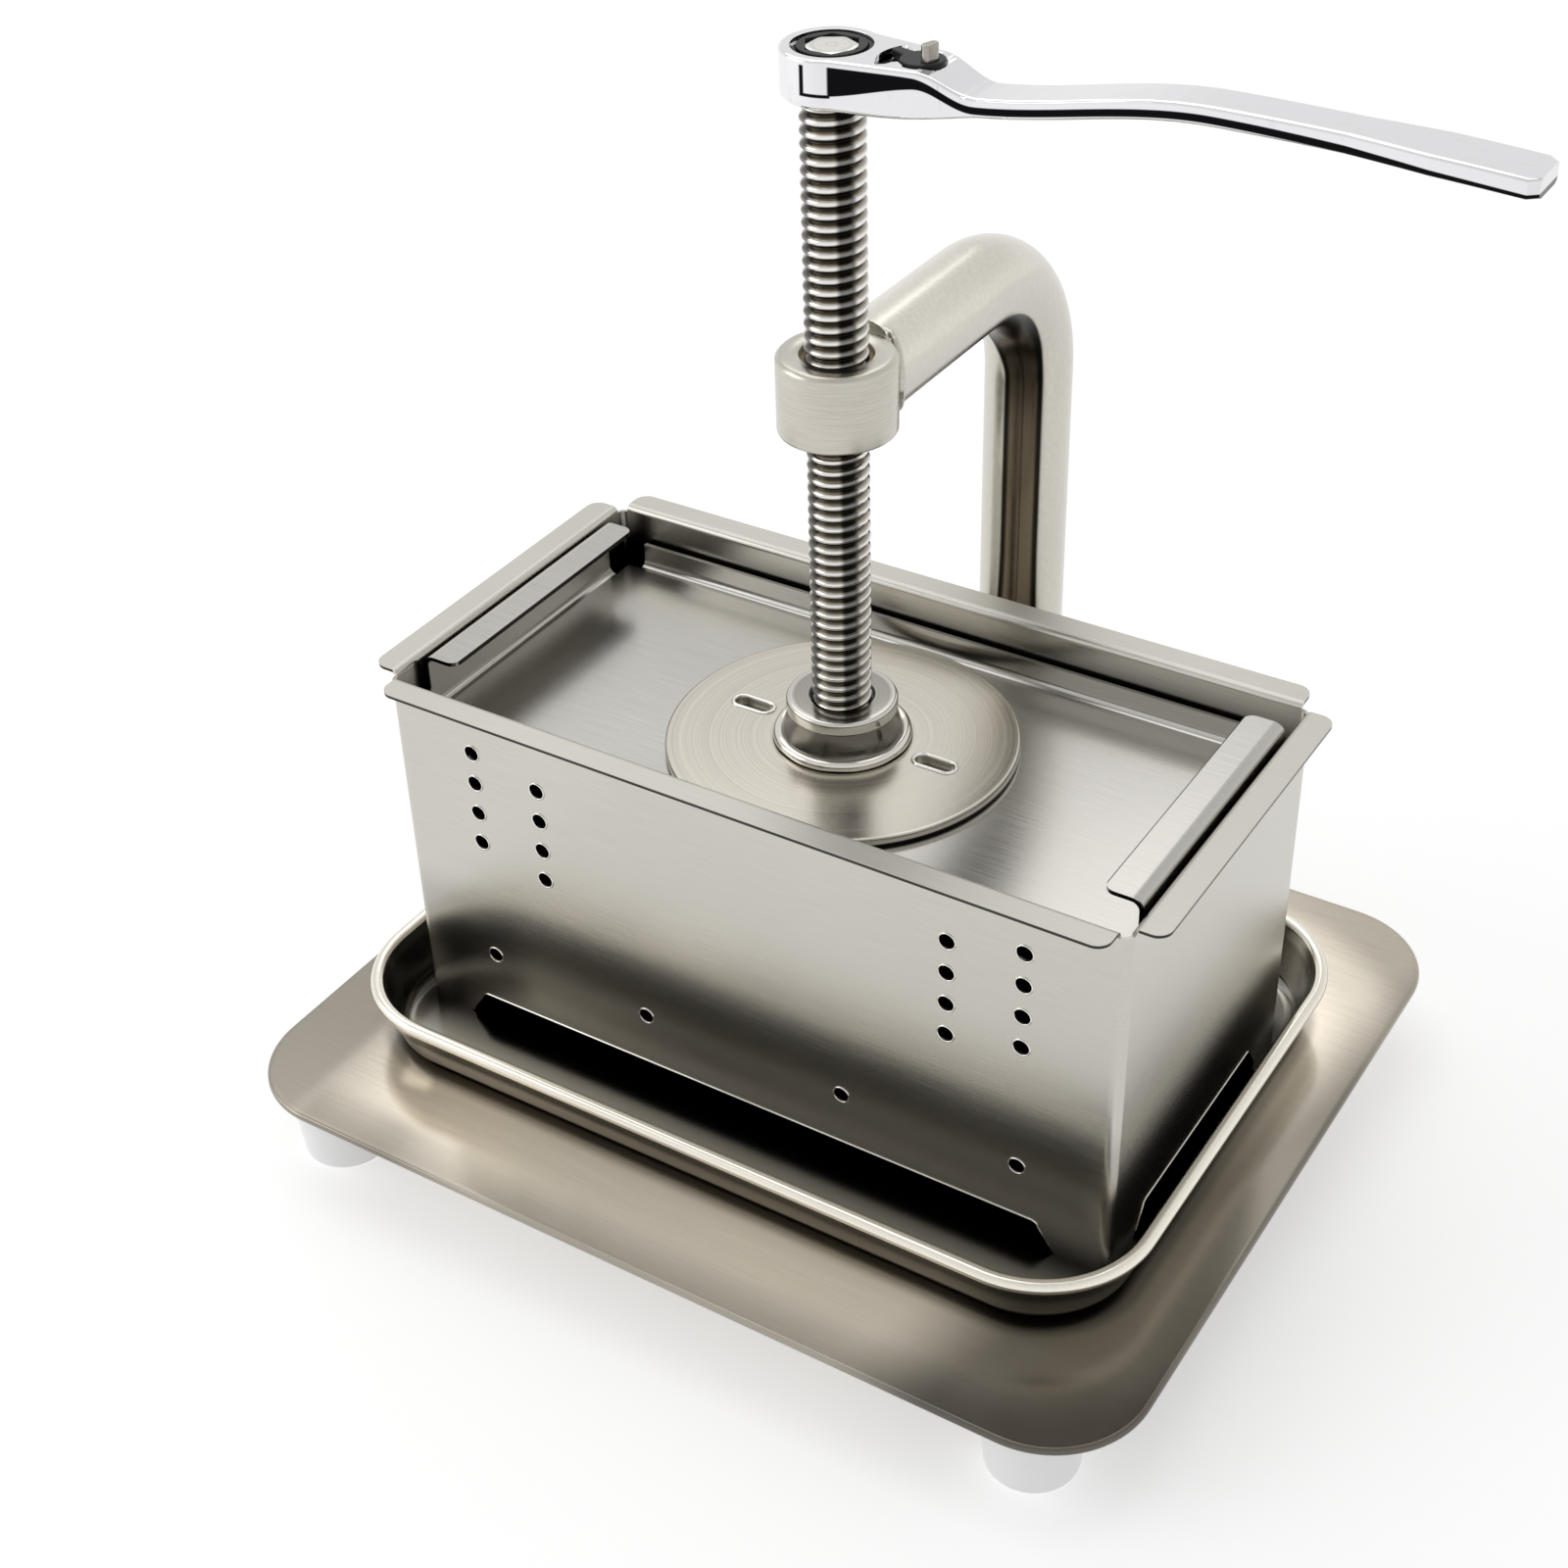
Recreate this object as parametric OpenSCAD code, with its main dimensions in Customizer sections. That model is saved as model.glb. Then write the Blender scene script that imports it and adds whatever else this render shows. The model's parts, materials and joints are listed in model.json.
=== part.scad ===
// Tofu press: a perforated box in a drip tray, under a screw driven by a ratchet wrench.
// Origin on the floor, in the middle of the space it takes up: +X along the box and the wrench,
// +Y towards the post, +Z up. Modules draw about the screw axis, and placed() moves them.

/* [Base plate] */
// Width of the base plate left free at each end of the tray
base_end_margin = 18.5; // [14:0.5:30]
// Width of the base plate left free in front of the tray
base_front_margin = 31; // [26:1:45]
// Width of the base plate left free behind the post
base_back_margin = 4.5; // [4:0.5:20]
// Thickness of the base plate
base_t = 2.5; // [2:0.5:4]
// Corner radius of the base plate
base_corner_r = 28; // [10:1:30]

/* [Feet] */
// Height of a foot
foot_h = 22; // [20:1:26]
// Foot diameter under the plate
foot_top_d = 28.4; // [24:0.2:30]
// Foot diameter at the floor
foot_floor_d = 25; // [22:0.5:28]
// Distance of a foot's axis from the plate's short side
foot_inset_x = 26.5; // [20:0.5:34]
// Distance of a foot's axis from the plate's long side
foot_inset_y = 18; // [16:0.5:26]
// Diameter of the studs that hold the feet
stud_d = 5; // [4:0.5:6]

/* [Box] */
// Inner length of the box
box_l = 220; // [214:1:222]
// Inner width of the box
box_w = 108; // [106:1:112]
// Height of the box on its legs
box_h = 113; // [110:1:116]
// Sheet thickness of the box
box_t = 1; // [0.8:0.1:1.5]
// Outer radius of the box's upright corners
box_corner_r = 3; // [2.5:0.5:5]
// Width of the turned-out flanges
flange_w = 7.5; // [5:0.5:9]
// Inner radius of the flange bend
flange_bend_r = 1; // [0.5:0.25:2]
// Radius at the ends of each flange
flange_end_r = 4; // [2:0.5:5]
// Gap left between two flanges at each corner
flange_notch = 3; // [2:0.5:6]
// Height of the arch between two legs
arch_h = 9; // [7:0.5:12]
// Width of a leg above the arch
leg_top_w = 20; // [16:0.5:24]
// Width of a leg at its foot
leg_foot_w = 16.5; // [12:0.5:18]
// Radius of the corners of the arch and the legs
leg_r = 2; // [1:0.25:3]
// Diameter of the drain holes in the long walls
drain_d = 4.5; // [3:0.5:6]
// Distance between two holes of a column
drain_pitch = 10; // [8:0.5:12]
// Holes in each column
drain_rows = 4; // [2:1:5]
// Distance of the outer columns from the middle
drain_outer_x = 84; // [80:1:90]
// Distance of the inner columns from the middle
drain_inner_x = 62.7; // [50:0.1:70]
// Depth of the outer columns' first hole under the rim
drain_outer_drop = 16.5; // [14:0.5:24]
// Depth of the inner columns' first hole under the rim
drain_inner_drop = 21.5; // [14:0.5:26]
// Distance of the lowest row from the middle, for the two inner holes
drain_low_x = 31.5; // [20:0.5:45]
// Height of the lowest row over the strainer floor
drain_low_rise = 8; // [5:0.5:12]

/* [Strainer floor] */
// Height of the strainer floor over the legs' ends
strainer_rise = 18; // [16:0.5:22]
// Sheet thickness of the strainer floor
strainer_t = 1.2; // [0.8:0.1:2]
// Height of the strainer's turned-down edges
strainer_edge_h = 7; // [4:0.5:8]
// Diameter of the strainer's holes
strainer_hole_d = 5; // [3:0.5:6]
// Holes along the strainer
strainer_cols = 10; // [4:1:12]
// Holes across the strainer
strainer_rows = 5; // [3:1:6]

/* [Drip tray] */
// Gap between the box's end walls and the tray
tray_end_gap = 9; // [8:0.5:14]
// Gap between the box's long walls and the tray
tray_side_gap = 29; // [20:0.5:34]
// Height of the tray
tray_h = 20; // [16:0.5:26]
// Sheet thickness of the tray
tray_t = 1; // [0.8:0.1:1.5]
// Corner radius of the tray at the rim
tray_corner_r = 30; // [20:1:34]
// How far the tray's walls lean in down to the floor
tray_lean = 3; // [0:0.5:5]
// Radius between the tray's wall and floor
tray_fold_r = 5; // [3:0.5:7]
// Diameter of the rolled rim bead
tray_bead_d = 4; // [2.5:0.1:5]

/* [Press plate] */
// Gap between the press plate and the box's walls
plate_gap = 1.5; // [1:0.1:2.5]
// Sheet thickness of the press plate
plate_t = 1.2; // [1:0.1:2]
// Height of the turned-up long edges above the plate
plate_edge_h = 7; // [4:0.5:9]
// How far the two handles stand above the box's rim
handle_rise = 0.5; // [0:0.5:3]
// Length of each handle
handle_l = 85; // [60:1:92]
// Width of a handle's turned-in lip
handle_lip_w = 11; // [8:0.5:14]
// Outer radius of the plate's folds
plate_fold_r = 3.5; // [2:0.5:4]
// Distance of the turned-up long edges' ends from the plate's ends
plate_notch = 8; // [6:0.5:12]

/* [Presser] */
// Diameter of the pressure disc
disc_d = 96; // [80:1:102]
// Thickness of the pressure disc
disc_t = 3; // [2:0.5:5]
// Depth of the disc's upper face under the box's rim
disc_drop = 14; // [12:0.5:30]
// Distance of the disc's two slots from the axis
slot_x = 28.4; // [24:0.2:36]
// Length of a slot
slot_l = 12; // [8:0.5:16]
// Width of a slot
slot_w = 5; // [3:0.5:6]
// Height of the hub on the disc
hub_h = 13; // [12:0.5:18]
// Diameter of the hub's top
hub_top_d = 30; // [27:0.5:32]
// Diameter of the hub's foot
hub_foot_d = 33.8; // [31:0.1:36]
// Width of the weld bead round the hub's foot
hub_bead = 1.8; // [1:0.1:2.5]
// Thickness of the hub's top wall
hub_roof_t = 3.5; // [2.5:0.5:4]
// Diameter of the space inside the hub
hub_inner_d = 22; // [21:0.5:23]
// Diameter of the thrust ball
ball_d = 7; // [5:0.5:8]

/* [Screw] */
// Diameter over the thread
screw_d = 16; // [14:0.5:18]
// Depth of the thread
thread_depth = 1.3; // [0.8:0.1:1.6]
// Height of the screw's shoulder above the box's rim
shoulder_z = 162.3; // [140:0.1:180]
// Width across the flats of the drive hexagon
drive_af = 12; // [10:1:13]
// Height of the drive hexagon
drive_h = 11; // [7:0.5:11.5]

/* [Arm] */
// Outer diameter of the arm's tube
arm_d = 25; // [20:0.5:25.5]
// Wall thickness of the arm's tube
arm_wall = 1.5; // [1:0.1:2.5]
// Gap between the tray's rim and the post
post_gap = 4.5; // [4:0.1:12]
// Centre-line radius of the arm's bend
arm_bend_r = 38; // [32:1:44]
// Height of the arm's centre line above the box's rim
arm_z = 88.3; // [84:0.1:100]
// Diameter of the collar
collar_d = 30.5; // [28:0.5:34]
// Height of the collar
collar_h = 20.5; // [18:0.5:26]
// Diameter of the nut bush in the collar
bush_d = 24; // [21:0.5:25]
// Thickness of the collar's top lip
collar_lip_t = 1.5; // [1:0.1:3]
// Gap round the screw in the collar's top lip
collar_lip_gap = 1.3; // [0.8:0.1:2]
// Size of the weld beads on the arm
arm_bead = 2.4; // [1:0.1:3]

/* [Ratchet wrench] */
// Diameter of the wrench's head
head_d = 24.5; // [24:0.1:27]
// Thickness of the wrench's head
head_h = 12; // [11.5:0.5:13]
// Distance from the head's axis to the end of the shank
wrench_reach = 164; // [130:1:190]
// Width of the shank
shank_w = 12; // [9:0.5:14]
// Thickness of the shank
shank_t = 4.5; // [4:0.25:6]
// Width of the wrench's far end
tail_w = 15; // [12:0.5:18]
// Depth of the shank's upper face under the head's at the neck
neck_drop = 4.5; // [3.5:0.1:5]
// Height that the shank climbs from the neck to its highest point
shank_arch = 8; // [4:0.5:10]
// Depth of the shank's end under its highest point
shank_sag = 2.4; // [0:0.2:4]
// Teeth on the ratchet ring, a multiple of twelve
ring_teeth = 36; // [24:12:48]
// Depth of the ring's teeth
tooth_h = 0.6; // [0.4:0.1:0.8]
// Diameter over the ring's teeth
ring_d = 19; // [18.5:0.1:19.2]
// Diameter of the ring's plain ends
ring_boss_d = 16.4; // [16:0.1:16.6]
// Distance of the pawl's pin from the head's axis
pawl_x = 15.5; // [15:0.1:16]
// Angle the pawl rocks to each side
pawl_rock = 4; // [3:0.5:5]
// Distance of the selector's axis from the head's axis
selector_x = 23.5; // [23:0.1:24]
// Angle of the selector to each side
selector_turn = 20; // [15:1:22]

/* [Clearances] */
// Radial clearance of parts that run in each other
run_gap = 0.05; // [0.03:0.01:0.1]
// Free gap between parts that pass each other
free_gap = 0.3; // [0.2:0.05:0.5]

/* [Hidden] */
$fn = 96;
e = 0.01;
tray_l = box_l + 2 * (box_t + tray_end_gap);
tray_w = box_w + 2 * (box_t + tray_side_gap);
arm_reach = tray_w / 2 + tray_bead_d - tray_t + post_gap + arm_d / 2;
base_l = tray_l + 2 * base_end_margin;
base_front = tray_w / 2 + base_front_margin;
base_back = arm_reach + arm_d / 2 + base_back_margin;
screw_x = (base_l / 2 - wrench_reach) / 2;
screw_y = (base_front - base_back) / 2;
base_w = base_front + base_back;
base_mid_y = (base_back - base_front) / 2;
base_top = foot_h + base_t;
box_z = base_top + tray_t;
rim_z = box_z + box_h;
foot_x = base_l / 2 - foot_inset_x;
foot_front_y = -base_front + foot_inset_y;
foot_back_y = base_back - foot_inset_y;
foot_web_h = 10;
foot_pocket_d = 11.5;
stud_l = 16;
nut_af = 8;
nut_h = 4;
washer_d = 10;
washer_t = 1;
box_out_l = box_l + 2 * box_t;
box_out_w = box_w + 2 * box_t;
bend_out_r = flange_bend_r + box_t;
disc_top = rim_z - disc_drop;
disc_z = disc_top - disc_t;
plate_top = disc_z;
plate_z = plate_top - plate_t;
plate_l = box_l - 2 * plate_gap;
plate_w = box_w - 2 * plate_gap;
handle_top = rim_z + handle_rise;
hub_top = disc_top + hub_h;
hub_roof_z = hub_top - hub_roof_t;
journal_end_z = disc_top + 5;
washer_top_z = disc_top + 2.5;
ball_z = (journal_end_z + washer_top_z) / 2;
clip_t = 1.2;
clip_z = hub_roof_z - free_gap - clip_t;
clip_groove_d = 13.5;
clip_d = 20.5;
clip_opening = 50;
arm_top_z = rim_z + arm_z;
collar_z = arm_top_z - collar_h / 2;
collar_top = collar_z + collar_h;
nut_bore_d = screw_d + 2 * run_gap;
shoulder = rim_z + shoulder_z;
hub_bore_d = screw_d + 1.2;
head_z = shoulder + 0.2;
head_top = head_z + head_h;
head_floor_t = 1.5;
gear_z = head_z + head_floor_t + 0.1;
gear_h = head_top - gear_z - 1.8;
ring_top = head_top - 0.1;
ring_gap = 0.1;
clip_slot_z = gear_z + gear_h + 0.2;
clip_slot_h = 0.9;
clip_slot_d = ring_d + 1.2;
pocket_r = 6.9;
pocket_top = head_top - 2.9;
pawl_z = head_z + head_floor_t + free_gap;
pawl_top = pocket_top - free_gap;
pawl_pin_d = 3;
recess_h = 1.8;
recess_r = 10.5;
stem_d = 6.4;
stem_z = head_z + 2.4;
plunger_d = 2.4;
plunger_reach = 5.5;
tab_x = 2.4;
plunger_z = (pawl_z + pawl_top) / 2;
neck_x = selector_x + 8;
neck_low_x = pawl_x + pocket_r + 0.5;
shank_high = 0.48;

module placed() {
    translate([screw_x, screw_y, 0])
        children();
}

// A rectangle with round corners, centred.
module round_rect(l, w, r) {
    square([l - 2 * r, w], center = true);
    square([l, w - 2 * r], center = true);
    for (x = [-1, 1], y = [-1, 1])
        translate([x * (l / 2 - r), y * (w / 2 - r)])
            circle(r);
}

// A strip with half-round ends along X, centred.
module obround(l, w) {
    square([l - w, w], center = true);
    for (x = [-1, 1])
        translate([x * (l - w) / 2, 0])
            circle(d = w);
}

// A tapered bar between two circles on the X axis, with straight tangent sides.
module tangent_bar(r1, x1, r2, x2) {
    a = asin((r1 - r2) / (x2 - x1));
    translate([x1, 0])
        circle(r1);
    translate([x2, 0])
        circle(r2);
    polygon([
        [x1 + r1 * sin(a), r1 * cos(a)], [x2 + r2 * sin(a), r2 * cos(a)],
        [x2 + r2 * sin(a), -r2 * cos(a)], [x1 + r1 * sin(a), -r1 * cos(a)]]);
}

// A quarter of a bent sheet: the outer quadrant with both coordinates positive.
module quarter_ring(r_out, r_in) {
    intersection() {
        difference() {
            circle(r_out);
            circle(r_in);
        }
        square(r_out + 1);
    }
}

module at_feet() {
    for (x = [-foot_x, foot_x], y = [foot_front_y, foot_back_y])
        translate([x, y, 0])
            children();
}

module base_plate() {
    color("#c9c2b4")
        translate([0, base_mid_y, foot_h])
            linear_extrude(base_t)
                round_rect(base_l, base_w, base_corner_r);
}

module foot() {
    color("#f2f2f2")
        difference() {
            union() {
                cylinder(d1 = foot_floor_d - 2, d2 = foot_floor_d, h = 1);
                translate([0, 0, 1])
                    cylinder(d1 = foot_floor_d, d2 = foot_top_d, h = foot_h - 1);
            }
            translate([0, 0, -1])
                cylinder(d = foot_pocket_d, h = foot_h - foot_web_h + 1);
            cylinder(d = stud_d + 2 * free_gap, h = foot_h + 1);
        }
}

module foot_front_left() {
    translate([-foot_x, foot_front_y, 0])
        foot();
}

module foot_front_right() {
    translate([foot_x, foot_front_y, 0])
        foot();
}

module foot_back_left() {
    translate([-foot_x, foot_back_y, 0])
        foot();
}

module foot_back_right() {
    translate([foot_x, foot_back_y, 0])
        foot();
}

module foot_studs() {
    color("#b9bcc0")
        at_feet()
            translate([0, 0, foot_h - stud_l])
                cylinder(d = stud_d, h = stud_l);
}

module foot_washers() {
    color("#b9bcc0")
        at_feet()
            translate([0, 0, foot_h - foot_web_h - washer_t])
                difference() {
                    cylinder(d = washer_d, h = washer_t);
                    translate([0, 0, -1])
                        cylinder(d = stud_d + free_gap, h = washer_t + 2);
                }
}

module foot_nuts() {
    color("#b9bcc0")
        at_feet()
            translate([0, 0, foot_h - foot_web_h - washer_t - nut_h])
                difference() {
                    cylinder(d = nut_af / cos(30), h = nut_h, $fn = 6);
                    translate([0, 0, -1])
                        cylinder(d = stud_d, h = nut_h + 2);
                }
}

// The arm's path filled with a round bar of the given diameter.
module arm_bar(d) {
    post_h = arm_top_z - arm_bend_r - base_top;
    translate([0, arm_reach, base_top])
        cylinder(d = d, h = post_h);
    translate([0, arm_reach - arm_bend_r, arm_top_z - arm_bend_r])
        rotate([90, 0, 90])
            rotate_extrude(angle = 90)
                translate([arm_bend_r, 0])
                    circle(d = d);
    translate([0, arm_reach - arm_bend_r, arm_top_z])
        rotate([90, 0, 0])
            cylinder(d = d, h = arm_reach - arm_bend_r);
}

module arm_tube() {
    color("#cfcac0")
        difference() {
            arm_bar(arm_d);
            arm_bar(arm_d - 2 * arm_wall);
            translate([0, 0, arm_top_z - arm_d])
                cylinder(d = collar_d + 2 * arm_bead, h = 2 * arm_d);
        }
}

module post_weld() {
    color("#b8b2a6")
        translate([0, arm_reach, base_top])
            difference() {
                cylinder(d1 = arm_d + 2 * arm_bead, d2 = arm_d + 0.4, h = arm_bead);
                translate([0, 0, -1])
                    cylinder(d = arm_d, h = arm_bead + 2);
            }
}

module collar() {
    color("#cfcac0")
        translate([0, 0, collar_z])
            difference() {
                rotate_extrude()
                    polygon([
                        [0, 0], [collar_d / 2 - 0.6, 0], [collar_d / 2, 0.6],
                        [collar_d / 2, collar_h - 0.8], [collar_d / 2 - 0.8, collar_h], [0, collar_h]]);
                translate([0, 0, -1])
                    cylinder(d = bush_d, h = collar_h - collar_lip_t + 1);
                cylinder(d = screw_d + 2 * collar_lip_gap, h = collar_h + 1);
            }
}

// The bead between the coped tube and the collar, sloping down to the collar's two rims.
module collar_weld() {
    color("#b8b2a6")
        difference() {
            intersection() {
                translate([0, 0, arm_top_z])
                    rotate([-90, 0, 0])
                        cylinder(d = arm_d + arm_bead / 2, h = collar_d);
                translate([0, 0, arm_top_z - arm_d])
                    cylinder(d = collar_d + 2 * arm_bead, h = 2 * arm_d);
            }
            translate([0, 0, arm_top_z])
                rotate([-90, 0, 0])
                    cylinder(d = collar_h - 2, h = collar_d + 1);
            translate([0, 0, arm_top_z - arm_d])
                cylinder(d = collar_d, h = 2 * arm_d);
            for (up = [0, 1])
                translate([0, 0, arm_top_z])
                    mirror([0, 0, up])
                        translate([0, 0, collar_h / 2])
                            cylinder(d1 = collar_d, d2 = collar_d + 2 * arm_d, h = arm_d);
        }
}

module nut_bush() {
    color("#b08d4a")
        translate([0, 0, collar_z + 0.5])
            difference() {
                cylinder(d = bush_d, h = collar_h - collar_lip_t - 0.5);
                translate([0, 0, -1])
                    cylinder(d = nut_bore_d, h = collar_h + 2);
            }
}

// The tray's wall: a rounded fold, a leaning sheet and a rolled bead, from a corner's centre.
module tray_profile() {
    foot_r = tray_corner_r - tray_lean;
    wall_top = tray_h - tray_bead_d / 2;
    translate([foot_r - tray_fold_r, tray_fold_r])
        mirror([0, 1])
            quarter_ring(tray_fold_r, tray_fold_r - tray_t);
    polygon([
        [foot_r - tray_t, tray_fold_r], [foot_r, tray_fold_r],
        [tray_corner_r, wall_top], [tray_corner_r - tray_t, wall_top]]);
    translate([tray_corner_r + tray_bead_d / 2 - tray_t, wall_top])
        circle(d = tray_bead_d);
}

module drip_tray() {
    run_l = tray_l - 2 * tray_corner_r;
    run_w = tray_w - 2 * tray_corner_r;
    floor_r = tray_corner_r - tray_lean - tray_fold_r;
    color("#a8a49a")
        translate([0, 0, base_top]) {
            linear_extrude(tray_t)
                round_rect(run_l + 2 * floor_r, run_w + 2 * floor_r, floor_r);
            for (side = [0, 1])
                rotate(side * 180) {
                    translate([-run_l / 2, -run_w / 2, 0])
                        rotate([90, 0, 90])
                            linear_extrude(run_l)
                                mirror([1, 0])
                                    tray_profile();
                    translate([run_l / 2, run_w / 2, 0])
                        rotate([90, 0, 0])
                            linear_extrude(run_w)
                                tray_profile();
                }
            for (x = [-1, 1], y = [-1, 1])
                translate([x * run_l / 2, y * run_w / 2, 0])
                    rotate(x > 0 ? (y > 0 ? 0 : 270) : (y > 0 ? 90 : 180))
                        rotate_extrude(angle = 90)
                            tray_profile();
        }
}

// One turned-out flange of length l with its bend, its wall's outer face on y = 0.
module flange(l) {
    intersection() {
        translate([-l / 2, 0, 0])
            rotate([90, 0, 90])
                linear_extrude(l) {
                    translate([-box_t, -bend_out_r - 1])
                        square([box_t, 1 + e]);
                    translate([flange_bend_r, -bend_out_r])
                        mirror([1, 0])
                            quarter_ring(bend_out_r, flange_bend_r);
                    translate([flange_bend_r - e, -box_t])
                        square([flange_w - flange_bend_r + e, box_t]);
                }
        translate([0, 0, -10])
            linear_extrude(20)
                translate([0, flange_w - 10])
                    round_rect(l, 20, flange_end_r);
    }
}

// The cut-out between two legs of a wall with the given outer length.
module arch_outline(wall_l) {
    top = wall_l / 2 - leg_top_w - leg_r;
    foot = wall_l / 2 - leg_foot_w;
    low = foot + leg_r;
    for (x = [-1, 1])
        translate([x * top, arch_h - leg_r])
            circle(leg_r);
    difference() {
        polygon([
            [-low, -1], [-low, leg_r], [-foot, leg_r], [-top - leg_r, arch_h - leg_r], [-top, arch_h],
            [top, arch_h], [top + leg_r, arch_h - leg_r], [foot, leg_r], [low, leg_r], [low, -1]]);
        for (x = [-1, 1])
            translate([x * (foot + leg_r), leg_r])
                circle(leg_r);
    }
}

// Centres of the drain holes in a long wall, as distance from the middle and height above the legs.
drain_spots = concat(
    [for (s = [-1, 1], i = [0:drain_rows - 1])
        [s * drain_outer_x, box_h - drain_outer_drop - i * drain_pitch]],
    [for (s = [-1, 1], i = [0:drain_rows - 1])
        [s * drain_inner_x, box_h - drain_inner_drop - i * drain_pitch]],
    [for (s = [-1, 1], x = [drain_low_x, drain_outer_x])
        [s * x, strainer_rise + drain_low_rise]]);

module box_shell() {
    color("#d6d2c6")
        translate([0, 0, box_z]) {
            difference() {
                linear_extrude(box_h - bend_out_r)
                    difference() {
                        round_rect(box_out_l, box_out_w, box_corner_r);
                        round_rect(box_l, box_w, box_corner_r - box_t);
                    }
                rotate([90, 0, 0])
                    linear_extrude(box_out_w + 2, center = true)
                        arch_outline(box_out_l);
                rotate([90, 0, 90])
                    linear_extrude(box_out_l + 2, center = true)
                        arch_outline(box_out_w);
                for (p = drain_spots)
                    translate([p[0], 0, p[1]])
                        rotate([90, 0, 0])
                            cylinder(d = drain_d, h = box_out_w + 2, center = true, $fn = 32);
            }
            for (side = [0, 1])
                rotate(side * 180) {
                    translate([0, box_out_w / 2, box_h])
                        flange(box_out_l - 2 * flange_notch);
                    rotate(90)
                        translate([0, box_out_l / 2, box_h])
                            flange(box_out_w - 2 * flange_notch);
                }
        }
}

module strainer_floor() {
    notch = box_corner_r + 1;
    color("#c4c0b5")
        translate([0, 0, box_z + strainer_rise - strainer_t])
            difference() {
                union() {
                    translate([-box_l / 2, -box_w / 2 + notch, 0])
                        cube([box_l, box_w - 2 * notch, strainer_t]);
                    translate([-box_l / 2 + notch, -box_w / 2, 0])
                        cube([box_l - 2 * notch, box_w, strainer_t]);
                    for (x = [-1, 1])
                        translate([x * (box_l - strainer_t) / 2, 0, (strainer_t - strainer_edge_h) / 2])
                            cube([strainer_t, box_w - 2 * notch, strainer_edge_h + strainer_t], center = true);
                    for (y = [-1, 1])
                        translate([0, y * (box_w - strainer_t) / 2, (strainer_t - strainer_edge_h) / 2])
                            cube([box_l - 2 * notch, strainer_t, strainer_edge_h + strainer_t], center = true);
                }
                for (i = [0:strainer_cols - 1], j = [0:strainer_rows - 1])
                    translate([
                        (i - (strainer_cols - 1) / 2) * box_l / (strainer_cols + 1),
                        (j - (strainer_rows - 1) / 2) * box_w / (strainer_rows + 1), -1])
                        cylinder(d = strainer_hole_d, h = strainer_t + 2, $fn = 24);
            }
}

// A handle's section in X and Z: up from the plate and folded inwards at the top.
module handle_section() {
    r = plate_fold_r;
    h = handle_top - plate_z;
    lip = handle_lip_w - r;
    translate([-plate_l / 2 + r - e, 0])
        square([1, plate_t]);
    translate([-plate_l / 2 + r, r])
        rotate(180)
            quarter_ring(r, r - plate_t);
    translate([-plate_l / 2, r])
        square([plate_t, h - 2 * r]);
    translate([-plate_l / 2 + r, h - r])
        rotate(90)
            quarter_ring(r, r - plate_t);
    translate([-plate_l / 2 + r, h - plate_t])
        square([lip, plate_t]);
}

module press_plate() {
    edge_l = plate_l - 2 * plate_notch;
    color("#c2bfb6")
        translate([0, 0, plate_z]) {
            translate([-plate_l / 2 + plate_fold_r, -plate_w / 2 + plate_fold_r, 0])
                cube([plate_l - 2 * plate_fold_r, plate_w - 2 * plate_fold_r, plate_t]);
            for (y = [-1, 1])
                rotate(y > 0 ? 0 : 180)
                    translate([-edge_l / 2, plate_w / 2 - plate_fold_r, 0])
                        rotate([90, 0, 90])
                            linear_extrude(edge_l) {
                                translate([-1, 0])
                                    square([1 + e, plate_t]);
                                translate([0, plate_fold_r])
                                    mirror([0, 1])
                                        quarter_ring(plate_fold_r, plate_fold_r - plate_t);
                                translate([plate_fold_r - plate_t, plate_fold_r])
                                    square([plate_t, plate_edge_h + plate_t - plate_fold_r]);
                            }
            for (side = [0, 1])
                rotate(side * 180)
                    intersection() {
                        translate([0, handle_l / 2, 0])
                            rotate([90, 0, 0])
                                linear_extrude(handle_l)
                                    handle_section();
                        translate([0, 0, -1])
                            linear_extrude(handle_top - plate_z + 2)
                                translate([-plate_l / 2 + handle_lip_w - 20, 0])
                                    round_rect(40, handle_l, 3);
                    }
        }
}

module pressure_disc() {
    color("#d2cec2")
        translate([0, 0, disc_z])
            difference() {
                rotate_extrude()
                    polygon([
                        [0, 0], [disc_d / 2, 0], [disc_d / 2, disc_t - 0.5],
                        [disc_d / 2 - 0.5, disc_t], [0, disc_t]]);
                for (x = [-1, 1])
                    translate([x * slot_x, 0, -1])
                        linear_extrude(disc_t + 2)
                            obround(slot_l, slot_w);
            }
}

module hub_cup() {
    color("#d2cec2")
        translate([0, 0, disc_top])
            difference() {
                rotate_extrude()
                    polygon([
                        [0, 0], [hub_foot_d / 2, 0], [hub_foot_d / 2, 2], [hub_top_d / 2 + 0.6, hub_h - 4.4],
                        [hub_top_d / 2, hub_h - 3.8], [hub_top_d / 2, hub_h - 0.9],
                        [hub_top_d / 2 - 0.9, hub_h], [0, hub_h]]);
                translate([0, 0, -1])
                    cylinder(d = hub_inner_d, h = hub_h - hub_roof_t + 1);
                cylinder(d = hub_bore_d, h = hub_h + 1);
            }
}

module hub_weld() {
    color("#c6c1b4")
        translate([0, 0, disc_top])
            rotate_extrude()
                translate([hub_foot_d / 2, 0])
                    intersection() {
                        circle(hub_bead);
                        square(hub_bead);
                    }
}

module thrust_washer() {
    color("#b08d4a")
        difference() {
            translate([0, 0, disc_top])
                cylinder(d = hub_inner_d - 2, h = washer_top_z - disc_top);
            translate([0, 0, ball_z])
                sphere(d = ball_d + 2 * run_gap);
        }
}

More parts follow.
